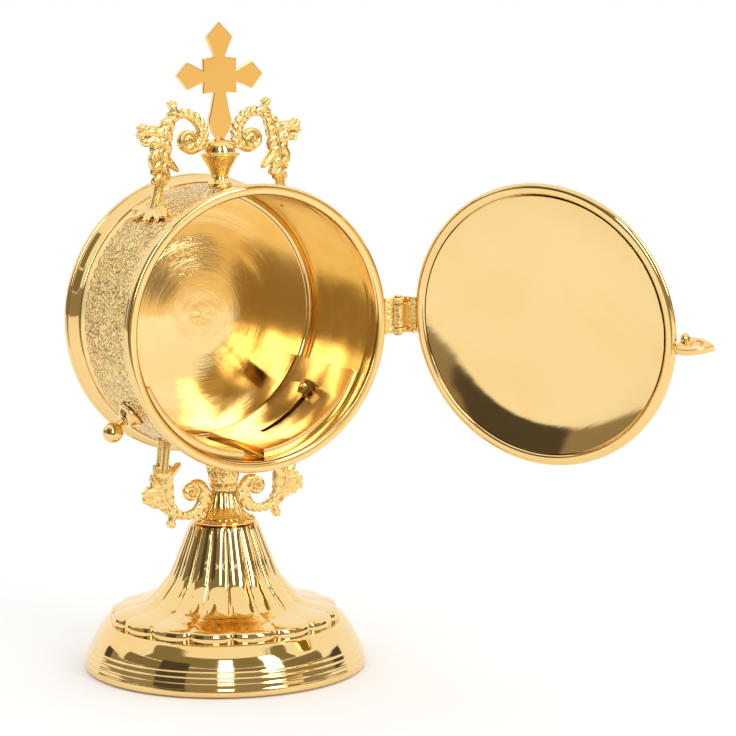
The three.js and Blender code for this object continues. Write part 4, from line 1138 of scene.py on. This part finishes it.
def spray():
    """The leafy foot that spreads on the band, with a row of small lobes on each leaf."""
    parts = []
    for leaf in SPRAY:
        out = on_band(leaf[1][0], 0)
        out = np.array([out[0], 0.0, out[2] - DRUM_AXIS])
        out /= np.linalg.norm(out)
        stops = [(*on_band(angle, y, 0.2), half * 0.8) for angle, y, half in leaf]
        parts.append(swept(stops, 0.9, 18, 12, out))
        line = smooth_line([(*on_band(angle, y, 0.6), half) for angle, y, half in leaf], 11)
        run = np.gradient(line[:, :3], axis=0)
        run /= np.linalg.norm(run, axis=1, keepdims=True)
        edge = np.cross(run, out)
        for (x, y, z, half), along, across in zip(line[1:-1], run[1:-1], edge[1:-1]):
            for hand in (-1, 1):
                base = np.array([x, y, z])
                middle = base + across * hand * half * 0.45 + out * 0.25
                tip = base + across * hand * half * 0.95 + along * half * 0.45
                parts.append(swept([(*base, 0.5), (*middle, 0.55), (*tip, 0.2)], 0.5, 6, 8, out))
    return parts


class LUNA_OT_scrolls(bpy.types.Operator):
    """Cast the four leafy scroll brackets"""
    bl_idname = "luna.scrolls"
    bl_label = "Scroll Brackets"
    bl_options = {"REGISTER", "UNDO"}

    def execute(self, context):
        gold = cast_gold("Cast scrolls", True, 0.3, 0.2)
        for side, word in SIDES:
            for level, form, extra in (("upper", UPPER_SCROLL, spray()), ("lower", LOWER_SCROLL, None)):
                cast_scroll(side, f"{level}_scroll_cast_{word}", f"{level}_scroll_{word}", form, gold, extra)
        return {"FINISHED"}


def on_screw(points, side):
    """Stands a piece that was turned round Z on the screw's line, out from the drum's axis."""
    lean = math.pi / 2 - math.radians(SCREW_ANGLE)
    x, y, z = np.asarray(points).T
    turned_x = x * math.cos(lean) + z * math.sin(lean)
    turned_z = -x * math.sin(lean) + z * math.cos(lean)
    return np.stack([side * turned_x, y + SCREW_Y, turned_z + DRUM_AXIS], axis=1)


class LUNA_OT_screws(bpy.types.Operator):
    """Turn the ball-headed screws with their collars, spacers and nuts"""
    bl_idname = "luna.screws"
    bl_label = "Clamping Screws"
    bl_options = {"REGISTER", "UNDO"}

    def execute(self, context):
        seat, hole = BAND_R + GAP, SCREW_HOLE_R
        ball_r, ball_at, ball_first = 3.6, BAND_R + 9.4, -63
        knob_gold = polished_gold("Turned ball")
        plain_gold = polished_gold("Turned collar")
        stud = [(0, LEAF_R - 3.9), (STUD_R - 0.3, LEAF_R - 3.9), (STUD_R, LEAF_R - 3.6), (STUD_R, seat + 3.6)]
        turn = np.radians(np.linspace(ball_first, 90, 44))
        ball = np.stack([ball_r * np.cos(turn), ball_at + ball_r * np.sin(turn)], axis=1)
        ball[-1, 0] = 0
        knob = np.vstack([stud, ball])
        collar = eased([(hole, seat + 0.35, 0.05), (5.2, seat + 0.1, 0.1), (5.2, seat + 0.75, 0.3),
                        (4.75, seat + 1.1, 0.2), (4.3, seat + 1.35, 0.3), (3.2, seat + 2.9, 0.5),
                        (3.1, seat + 3.4, 0.2), (hole, seat + 3.4, 0.05)], steps=5)
        spacer_r, low, high = 3, LEAF_R + LEAF_T + GAP, BAND_INNER_R - GAP
        spacer = eased([(hole, low), (spacer_r, low), (spacer_r, high), (hole, high)], radius=0.15)
        for side, word in SIDES:
            points, faces = turned(knob, 72, closed=False)
            made_piece(f"knob_ball_{word}", on_screw(points, side), faces, knob_gold, f"knob_{word}",
                       body=f"knob_{word}", sharp=50.0)
            points, faces = turned(collar, 96)
            self.seat_on_band(points, seat)
            made_piece(f"screw_collar_cone_{word}", on_screw(points, side), faces, plain_gold,
                       f"screw_collar_{word}", sharp=50.0)
            points, faces = turned(spacer, 48)
            made_piece(f"screw_spacer_ring_{word}", on_screw(points, side), faces, plain_gold,
                       f"screw_spacer_{word}")
            self.make_nut(side, word, plain_gold)
        return {"FINISHED"}

    @staticmethod
    def seat_on_band(points, seat):
        """Lets the collar's foot follow the band's curve."""
        low = points[:, 2] < seat + 0.5
        points[low, 2] += np.sqrt(seat ** 2 - points[low, 0] ** 2) - seat

    @staticmethod
    def make_nut(side, word, gold):
        """A hexagon nut whose faces are smaller than its middle."""
        top, thick, half_flat = LEAF_R - GAP, 2.6, 2.95
        sixth = math.pi / 3
        turn = np.radians(np.arange(0, 360, 5))
        flat = half_flat / np.cos((turn + sixth / 2) % sixth - sixth / 2)
        hole = np.full_like(turn, SCREW_HOLE_R)
        rows = [(flat, top - 2.3), (flat, top - 0.3), (flat * 0.94, top - 0.02), (hole, top - 0.02),
                (hole, top - thick), (flat * 0.94, top - thick)]
        points = np.vstack([np.stack([r * np.cos(turn), r * np.sin(turn), np.full_like(turn, h)], axis=1)
                            for r, h in rows])
        made_piece(f"screw_nut_hex_{word}", on_screw(points, side), grid_faces(6, len(turn), True), gold,
                   f"screw_nut_{word}", sharp=25.0)


class LUNA_OT_cradle(bpy.types.Operator):
    """Bend the two slotted cradle leaves"""
    bl_idname = "luna.cradle"
    bl_label = "Cradle Leaves"
    bl_options = {"REGISTER", "UNDO"}

    def execute(self, context):
        gold = brushed_gold("Bent leaf", centre_of_drum(), 0.2, 0.03)
        turns = np.concatenate([[LEAF_LOW, LEAF_LOW + 0.5], np.linspace(LEAF_LOW + 0.6, LEAF_HIGH - 0.6, 60),
                                [LEAF_HIGH - 0.5, LEAF_HIGH]])
        past = 2.3
        slot_turns = np.linspace(SLOT_LOW - past, SCREW_ANGLE + past, 56)
        for side, word in SIDES:
            sheet = self.bent(np.radians(turns), self.leaf_section, side)
            slot = self.bent(np.radians(slot_turns), self.slot_section, side)
            cutter = bpy.data.objects.new("cutter", slot)
            bpy.context.scene.collection.objects.link(cutter)
            cut_out = ("BOOLEAN", {"object": cutter, "operation": "DIFFERENCE", "solver": "EXACT"})
            mesh = modified(sheet, cut_out, bevelled(0.00012, 2, 50))
            bpy.data.objects.remove(cutter)
            placed(f"cradle_leaf_bent_{word}", mesh, gold, f"cradle_{word}",
                   f"cradle_leaf_{word}", 30.0)
        return {"FINISHED"}

    @staticmethod
    def leaf_section(turn):
        """The leaf's section; its front edge and both ends are turned out towards the drum's wall."""
        inner, outer, lip = LEAF_R, LEAF_R + LEAF_T, BAND_INNER_R - 0.12
        if not LEAF_LOW + 0.55 < math.degrees(turn) < LEAF_HIGH - 0.55:
            outer = lip - 0.01
        front, back = DRUM_FRONT + 5.75, PLATE_FACE - 0.6
        return [(inner, front), (lip, front), (lip, front + 0.5), (outer, front + 0.5), (outer, back),
                (inner, back)]

    @staticmethod
    def slot_section(turn):
        """The slot's section, as wide as the screw's hole and narrower towards its two rounded ends."""
        first, last, half = math.radians(SLOT_LOW), math.radians(SCREW_ANGLE), SCREW_HOLE_R
        if not first < turn < last:
            past = min(abs(turn - end) * LEAF_R for end in (first, last))
            half = math.sqrt(max(half ** 2 - past ** 2, 0.01))
        return [(LEAF_R - 1, SCREW_Y - half), (LEAF_R + 2, SCREW_Y - half), (LEAF_R + 2, SCREW_Y + half),
                (LEAF_R - 1, SCREW_Y + half)]

    @staticmethod
    def bent(turns, section, side):
        """A section that changes as it turns round the drum, closed at both ends."""
        rows = [[(radius * math.cos(turn) * side, y, DRUM_AXIS + radius * math.sin(turn))
                 for radius, y in section(turn)] for turn in turns]
        corners = len(rows[0])
        points = np.array(rows).reshape(-1, 3)
        faces = [tuple(face) for face in grid_faces(len(rows), corners, False)]
        faces += [tuple(range(corners)), tuple(len(points) - corners + i for i in range(corners))]
        return raw_mesh("bent", to_frame(points), faces)


class LUNA_OT_crown(bpy.types.Operator):
    """Turn the urn and saw the flat cross"""
    bl_idname = "luna.crown"
    bl_label = "Urn And Cross"
    bl_options = {"REGISTER", "UNDO"}

    def execute(self, context):
        self.make_urn()
        self.make_cross()
        return {"FINISHED"}

    @staticmethod
    def make_urn():
        """The urn's solid turning; its foot follows the band's curve."""
        rise = [(4.3, -0.02), (4.3, 0.05), (3.75, 0.1), (3.3, 0.15), (3.1, 0.2), (3.3, 0.26), (3.75, 0.33),
                (4.3, 0.4), (5.0, 0.47), (5.7, 0.53), (6.3, 0.585), (6.75, 0.63), (7.0, 0.645), (7.05, 0.662),
                (6.7, 0.68), (6.0, 0.69), (5.5, 0.71), (5.4, 0.75), (5.2, 0.81), (4.7, 0.87), (3.8, 0.925),
                (2.3, 0.975), (0.6, 1.0)]
        line = smooth_line(rise, 120)
        heights = URN_FOOT + URN_H * line[:, 1]
        profile = np.vstack([[0.0, heights[0]], np.stack([line[:, 0], heights], axis=1), [0.0, heights[-1]]])
        points, faces = turned(profile, 144, closed=False)
        seat = BAND_R + GAP
        low = points[:, 2] < URN_FOOT + 0.8
        points[low, 2] += np.sqrt(seat ** 2 - points[low, 0] ** 2) - seat + GAP
        made_piece("urn_turned", points, faces, cast_gold("Urn", False, 0.2, 0.12), "finial_urn", sharp=45.0)

    @staticmethod
    def make_cross():
        """A flat sawn cross: half its outline, as shares of its height, is mirrored."""
        tall, half_thick = 40.2, 0.85
        half = [(0.045, 0.0), (0.082, 0.05), (0.107, 0.12), (0.108, 0.165), (0.09, 0.22), (0.055, 0.395),
                (0.16, 0.385), (0.157, 0.483), (0.31, 0.42), (0.415, 0.545), (0.31, 0.66), (0.157, 0.583),
                (0.16, 0.685), (0.048, 0.7), (0.125, 0.87), (0.0, 1.0)]
        outline = half + [(-x, z) for x, z in half[-2::-1]]
        foot = URN_FOOT + URN_H
        ring = [(x * tall, z * tall + foot) for x, z in outline]
        count = len(ring)
        points = [(x, y, z) for y in (-half_thick, half_thick) for x, z in ring]
        faces = [tuple(range(count)), tuple(range(count, 2 * count))]
        faces += [(i, (i + 1) % count, (i + 1) % count + count, i + count) for i in range(count)]
        mesh = modified(raw_mesh("cross", to_frame(np.array(points)), faces), bevelled(0.00022, 3, 25))
        gold = polished_gold("Sawn cross", roughness=0.03, tone=golds().mirror)
        placed("cross_sawn", mesh, gold, "stand", "cross", 8.0)


# Hinge and door, drawn shut

HINGE_H, HINGE_MIDDLE = 12.8, 8.2
KNUCKLE_R, PIN_R = 2.3, 0.9
HINGE_GRAIN = 0.00016
DOOR_R, DOOR_RIM_T, DOOR_FACE = 49.8, 3.3, DRUM_FRONT - GAP
DOOR_WELL_R, DOOR_WELL = 45.9, 3.0


def on_hinge(points):
    """Points drawn along an upright hinge, stood on the door joint's own axis in the frame."""
    lean = Vector((0, 0, 1)).rotation_difference(Vector(HINGE["axis"])).to_matrix()
    return np.asarray(points, float) * MM @ np.array(lean).T + np.array(HINGE["pos_m"])


def cuboid(low, high):
    points = [(x, y, z) for z in (low[2], high[2]) for x, y in
              ((low[0], low[1]), (high[0], low[1]), (high[0], high[1]), (low[0], high[1]))]
    return points, [(0, 1, 2, 3), (4, 5, 6, 7), (0, 1, 5, 4), (1, 2, 6, 5), (2, 3, 7, 6), (3, 0, 4, 7)]


def barrel(radius, hole, low, high):
    profile = eased([(hole, low, 0.05), (radius, low, 0.3), (radius, high, 0.3), (hole, high, 0.05)])
    return turned(profile, 48)


class LUNA_OT_hinge(bpy.types.Operator):
    """Cast the hinge's two leaves and turn its pin"""
    bl_idname = "luna.hinge"
    bl_label = "Door Hinge"
    bl_options = {"REGISTER", "UNDO"}

    def execute(self, context):
        gold = cast_gold("Cast hinge", True, 0.5, 0.2)
        maker = np.random.default_rng(9)
        end, split = HINGE_H / 2, HINGE_MIDDLE / 2
        reach = HINGE["pos_m"][0] / MM - AXIS.x / MM
        drum_edge = -(reach - RING_R) - 0.2
        hole = PIN_R + 0.3
        leaf = [cuboid((drum_edge, -0.6, -end), (-2.85, 0.6, end))]
        for low, high in ((split + GAP, end), (-end, -split - GAP)):
            leaf.append(barrel(KNUCKLE_R, hole, low, high))
            leaf.append(cuboid((-3.0, -0.6, low), (-hole - 0.3, 0.6, high)))
        leaf += self.granules(maker, (drum_edge + 0.9, -2.9), (-end + 0.5, end - 0.5), -0.6, 34)
        for low, high in ((split + 0.6, end - 0.5), (-end + 0.5, -split - 0.6)):
            leaf += self.granules(maker, (-1.9, 1.9), (low, high), -1.5, 10)
        self.cast("hinge_leaf_cast_drum", leaf, gold, "hinge_leaf_drum", "stand")
        front = -KNUCKLE_R + 0.1
        door_edge = -(reach - DOOR_R) - 0.3
        leaf = [barrel(KNUCKLE_R, hole, -split, split),
                cuboid((-1.6, front - 0.6, -split), (-hole, -0.4, split)),
                cuboid((door_edge, front - 1.2, -end), (0, front - 0.32, end)),
                cuboid((door_edge, front - 1.2, -split), (0, front, split))]
        leaf += self.granules(maker, (door_edge + 0.6, -0.5), (-end + 0.5, end - 0.5), front - 1.15, 46)
        leaf += self.granules(maker, (-1.9, 1.7), (-split + 0.4, split - 0.4), 1.6, 26)
        leaf += self.granules(maker, (door_edge + 0.8, -2.2), (-end + 0.5, end - 0.5), front - 0.3, 30)
        self.cast("hinge_leaf_cast_door", leaf, gold, "hinge_leaf_door", "door")
        head, cap = 1.5, 0.4
        profile = eased([(0, -end - GAP - cap), (head, -end - GAP - cap, 0.2), (head, -end - GAP, 0.1),
                         (PIN_R, -end - GAP, 0.05), (PIN_R, end + GAP, 0.05), (head, end + GAP, 0.1),
                         (head, end + GAP + cap, 0.2), (0, end + GAP + cap)], closed=False)
        points, faces = turned(profile, 40, closed=False)
        placed("hinge_pin_turned", raw_mesh("pin", on_hinge(points), faces), polished_gold("Hinge pin"),
               "stand", "hinge_pin")
        return {"FINISHED"}

    @staticmethod
    def granules(maker, across, up, y, count):
        """Cast granules scattered over one face of a leaf."""
        least, most, high = 0.35, 0.75, 0.42
        return [blob((maker.uniform(*across), y, maker.uniform(*up)),
                     (maker.uniform(least, most), high, maker.uniform(least, most)), 6, 8)
                for _ in range(count)]

    @staticmethod
    def cast(name, parts, gold, node, body):
        """Parts drawn along the hinge, fused in to one casting."""
        points, faces = gathered(parts)
        points = on_hinge(points)
        if body == "door":
            points = swung(points)
        mesh = modified(raw_mesh(name, points, faces),
                        ("REMESH", {"mode": "VOXEL", "voxel_size": HINGE_GRAIN}),
                        ("SMOOTH", {"factor": 0.5, "iterations": 2}))
        # Mask for the painted shade in the casting's hollows.
        mark_hollows(mesh, 0.00014)
        placed(name, mesh, gold, body, node, 60.0)


class LUNA_OT_door(bpy.types.Operator):
    """Turn the door's rim, spin its dish and saw its pull tab"""
    bl_idname = "luna.door"
    bl_label = "Door"
    bl_options = {"REGISTER", "UNDO"}

    def execute(self, context):
        face, back = DOOR_FACE, DOOR_FACE - DOOR_RIM_T
        rim = eased([(DOOR_WELL_R, face - 0.7, 0.3), (DOOR_WELL_R + 0.7, face, 0.5),
                     (DOOR_R - 1.1, face, 0.5), (DOOR_R, face - 0.9, 0.7), (DOOR_R, face - 1.8, 0.4),
                     (DOOR_R - 0.5, back + 0.7, 0.5), (DOOR_R - 1.5, back, 0.4), (DOOR_WELL_R, back, 0.05)],
                    steps=6)
        points, faces = turned(rim, 256, "Y")
        made_piece("door_rim_turned", points, faces, spun_on_drum("Turned door rim"), "door_rim", "door",
                   sharp=50.0)
        edge, floor = DOOR_WELL_R - GAP, face - DOOR_WELL
        radius = np.linspace(0, edge - 0.15, 110)
        slope = np.radians(np.interp(radius, [0, 27, 32, 36.8, 45.6], [0, 0, 3.5, 10, 18]))
        rise = np.concatenate([[0], np.cumsum(np.tan(slope[1:]) * np.diff(radius))])
        rows = [(r, floor - 0.4 + up) for r, up in zip(radius, rise)]
        rows += [(edge, rows[-1][1] - 0.15), (edge, back - 0.02), (edge + 1.9, back - 0.02),
                 (edge + 1.9, back - 0.55), (edge + 0.6, back - 1.15), (edge - 0.4, back - 1.3),
                 (edge * 0.5, back - 1.3), (0, back - 1.3)]
        points, faces = turned(np.array(rows), 224, "Y", closed=False)
        swung_middle = swung(np.array([[AXIS.x, AXIS.y, DRUM_AXIS * MM]]))[0]
        made_piece("door_dish_spun", points, faces, brushed_gold("Spun dish", swung_middle), "door_dish",
                   "door", 25.0)
        self.make_tab(face - DOOR_RIM_T / 2)
        return {"FINISHED"}

    @staticmethod
    def make_tab(y):
        """A pointed oval with an eye, tilted about its length, and a small lug at its root."""
        reach, half, root_half, thick, hole, tilt = 13.2, 5.2, 4.2, 2.3, 2.4, math.radians(-15)
        root, y, z = -(DOOR_R + GAP), y - 0.6, DRUM_AXIS - 3.9
        side = np.array([[-reach * (t ** 2 + t * (1 - t)),
                          root_half * (1 - t) ** 2 + 2 * t * (1 - t) * (2 * half - root_half)]
                         for t in np.linspace(0, 1, 40)])
        outer = np.vstack([side * [1, -1], side[-2::-1]])
        middle = np.array([-reach * 0.5, 0])
        turn = np.arctan2(outer[:, 1], outer[:, 0] - middle[0])
        inner = middle + hole * np.stack([np.cos(turn), np.sin(turn)], axis=1)
        rows = []
        for edge, face in ((outer, -1), (outer, 1), (inner, 1), (inner, -1)):
            across, up = edge[:, 1], np.full(len(edge), face * thick / 2)
            rows.append(np.column_stack([edge[:, 0] + root, y + across * math.cos(tilt) - up * math.sin(tilt),
                                         z + across * math.sin(tilt) + up * math.cos(tilt)]))
        mesh = raw_mesh("tab", swung(to_frame(np.vstack(rows))), grid_faces(4, len(outer), True))
        mesh = modified(mesh, bevelled(0.00045, 4, 40))
        lug_points, lug_faces = blob((root - 1.75, y - 1.9, z + 1.9), (1.7, 2.0, 2.2), 14, 24)
        lug = raw_mesh("lug", swung(to_frame(np.array(lug_points))), lug_faces)
        build = bmesh.new()
        build.from_mesh(mesh)
        build.from_mesh(lug)
        build.to_mesh(mesh)
        build.free()
        placed("door_tab_sawn", mesh, polished_gold("Pull tab"), "door", "door_tab", 30.0)


# Studio, in metres

FLOOR_R = 30.0
ABOVE_FLOOR = 0.002
LAMP_AIM = 0.1
CLOTH_END = 2.05
PAPER_DEPTH, PAPER_DEPTH_MOST, PAPER_TURN = 0.298, 1.4, 21


def plain(name, colour, glow=False):
    """Matt paper, or a colour that glows as it is."""
    made = Shader(bpy.data.materials.new(name))
    if glow:
        shader = made.node("ShaderNodeEmission", None, {"Color": rgba(colour), "Strength": 1.0})
    else:
        shader = made.node("ShaderNodeBsdfPrincipled", None, {
            "Base Color": rgba(colour), "Roughness": 0.9, "Specular IOR Level": 0.1})
    made.node("ShaderNodeOutputMaterial", None, {"Surface": shader})
    return made.owner


def stage_sheet(name, points, faces, material):
    """A sheet of the studio, which isn't part of the object."""
    mesh = bpy.data.meshes.new(name)
    mesh.from_pydata([tuple(point) for point in points], [], [tuple(int(i) for i in face) for face in faces])
    mesh.materials.append(material)
    sheet = bpy.data.objects.new(name, mesh)
    bpy.context.scene.collection.objects.link(sheet)
    return sheet


def reflected_strip(name, near, far, colour):
    """A glowing strip between two rows of places, that only the gold's reflections see."""
    sheet = stage_sheet(name, [*near, *far], sheet_faces(2, len(near)), plain(name, colour, glow=True))
    sheet.visible_camera = False
    sheet.visible_diffuse = False
    sheet.visible_shadow = False


class LUNA_OT_stage(bpy.types.Operator):
    """Lay the pale floor, light the studio and stand the camera"""
    bl_idname = "luna.stage"
    bl_label = "Studio"
    bl_options = {"REGISTER", "UNDO"}

    def execute(self, context):
        settings = stage_settings()
        look = Vector(settings.camera_look).normalized()
        self.right = look.cross(Vector((0, 0, 1))).normalized()
        self.towards = Vector((-look.x, -look.y, 0)).normalized()
        self.lay_floor(settings)
        self.stand_room(settings)
        self.light_windows()
        self.stand_camera(settings, look)
        return {"FINISHED"}

    def at(self, bearing, distance, height):
        """A place round the object: bearing 0 is towards the camera, 90 the picture's right."""
        turn = math.radians(bearing)
        place = self.towards * math.cos(turn) + self.right * math.sin(turn)
        return Vector((AXIS.x, AXIS.y, 0)) + place * distance + Vector((0, 0, height))

    @staticmethod
    def lay_floor(settings):
        """Pale paper that runs out of the picture, under white air."""
        turn = np.linspace(0, 2 * math.pi, 128, endpoint=False)
        points = [(AXIS.x + FLOOR_R * math.cos(t), AXIS.y + FLOOR_R * math.sin(t), 0) for t in turn]
        stage_sheet("floor", points, [range(128)], plain("Paper floor", settings.paper))
        world = bpy.data.worlds.new("Studio air")
        bpy.context.scene.world = world
        made = Shader(world)
        air = made.node("ShaderNodeBackground", None, {"Color": rgba((1.0, 1.0, 1.0)), "Strength": 1.05})
        made.node("ShaderNodeOutputWorld", None, {"Surface": air})

    def stand_room(self, settings):
        """What the gold sees round the table: walls, a cabinet, windows, curtains, a board and cloths."""
        for name, first, last, low, high, distance, colour in (
                ("room_low", -118, 116, 0.0, 0.5, 2.0, settings.room_low),
                ("room_middle", -96, 96, 0.5, 1.0, 1.9, settings.room_middle),
                ("room_high", -78, 72, 1.0, 2.2, 1.8, settings.room_high),
                ("cabinet", -57, -30, 0.0, 1.0, 1.6, settings.cabinet),
                ("board_upright", 49, 68, 0.02, 0.25, 1.92, settings.board),
                ("pane_middle", -3, 9, 0.36, 1.55, 1.55, settings.pane),
                ("pane_right", 39, 54, 0.34, 1.75, 1.5, settings.pane),
                ("curtain_left", -122, -112, 0.0, 0.5, 1.95, settings.cabinet),
                ("curtain_right", 104, 120, 0.0, 0.5, 1.95, settings.cabinet)):
            turns = np.linspace(first, last, 30)
            reflected_strip(name, [self.at(turn, distance, low) for turn in turns],
                            [self.at(turn, distance, high) for turn in turns], colour)
        for name, first, last, colour in (("cloth_dark", -57, -27, settings.cabinet),
                                          ("cloth_brown", -27, 25, settings.room_low)):
            turns = np.linspace(first, last, 20)
            reflected_strip(name, [self.at(turn, self.paper_edge(turn), ABOVE_FLOOR) for turn in turns],
                            [self.at(turn, CLOTH_END, ABOVE_FLOOR) for turn in turns], colour)
        turns = np.linspace(27, 100, 20)
        over_cloth = ABOVE_FLOOR + 0.001
        reflected_strip("board", [self.at(turn, 0.95, over_cloth) for turn in turns],
                        [self.at(turn, 2.04, over_cloth) for turn in turns], settings.board)

    @staticmethod
    def paper_edge(turn):
        """How far off the paper's straight front edge is at a bearing."""
        return min(PAPER_DEPTH / math.cos(math.radians(turn - PAPER_TURN)), PAPER_DEPTH_MOST)

    def light_windows(self):
        """The lamps of the two windows, in metres and watts, aimed at the object's middle."""
        for name, bearing, distance, height, wide, tall, power in (
                ("window_middle", 3, 1.7, 0.65, 0.4, 0.62, 2.7),
                ("window_right", 46, 1.6, 0.88, 0.4, 1.1, 4.4)):
            light = bpy.data.lights.new(name, "AREA")
            light.shape = "RECTANGLE"
            light.size, light.size_y = wide, tall
            light.energy = power
            lamp = bpy.data.objects.new(name, light)
            bpy.context.scene.collection.objects.link(lamp)
            place = self.at(bearing, distance, height)
            lamp.location = place
            aim = Vector((AXIS.x, AXIS.y, LAMP_AIM)) - place
            lamp.rotation_euler = aim.to_track_quat("-Z", "Y").to_euler()

    def stand_camera(self, settings, look):
        """The camera at the photograph's place, rolled by a trace about its view."""
        up = self.right.cross(look)
        cosine, sine = math.cos(settings.camera_roll), math.sin(settings.camera_roll)
        right, up = self.right * cosine + up * sine, up * cosine - self.right * sine
        camera = bpy.data.cameras.new("camera")
        camera.lens, camera.sensor_width = settings.lens, 36.0
        holder = bpy.data.objects.new("camera", camera)
        bpy.context.scene.collection.objects.link(holder)
        turn = Matrix((right, up, -look)).transposed().to_4x4()
        at = Vector(settings.camera_at) + Vector((AXIS.x, AXIS.y, 0))
        holder.matrix_world = Matrix.Translation(at) @ turn
        scene = bpy.context.scene
        scene.camera = holder
        scene.view_settings.view_transform = "Standard"


OPERATORS = (
    LUNA_OT_foot_base, LUNA_OT_bell, LUNA_OT_stem, LUNA_OT_tie, LUNA_OT_band, LUNA_OT_rings,
    LUNA_OT_back_plate, LUNA_OT_scrolls, LUNA_OT_screws, LUNA_OT_cradle, LUNA_OT_crown, LUNA_OT_hinge,
    LUNA_OT_door, LUNA_OT_stage)


class LUNA_PT_pieces(bpy.types.Panel):
    """The luna's sizes, colours and pieces"""
    bl_idname = "LUNA_PT_pieces"
    bl_label = "Standing Luna"
    bl_space_type = "VIEW_3D"
    bl_region_type = "UI"
    bl_category = "Luna"

    def draw(self, context):
        for title, group in (("Shapes", context.scene.luna_shapes), ("Gold", context.scene.luna_gold),
                             ("Stage", context.scene.luna_stage)):
            box = self.layout.box()
            box.label(text=title)
            for name in group.__annotations__:
                box.prop(group, name)
        for operator in OPERATORS:
            self.layout.operator(operator.bl_idname)


CLASSES = (LunaShapes, LunaGold, LunaStage, *OPERATORS, LUNA_PT_pieces)


def register():
    for item in CLASSES:
        bpy.utils.register_class(item)
    bpy.types.Scene.luna_shapes = PointerProperty(type=LunaShapes)
    bpy.types.Scene.luna_gold = PointerProperty(type=LunaGold)
    bpy.types.Scene.luna_stage = PointerProperty(type=LunaStage)


def unregister():
    del bpy.types.Scene.luna_stage
    del bpy.types.Scene.luna_gold
    del bpy.types.Scene.luna_shapes
    for item in reversed(CLASSES):
        bpy.utils.unregister_class(item)


def main():
    register()
    for operator in OPERATORS:
        group, call = operator.bl_idname.split(".")
        getattr(getattr(bpy.ops, group), call)()


if __name__ == "__main__":
    main()
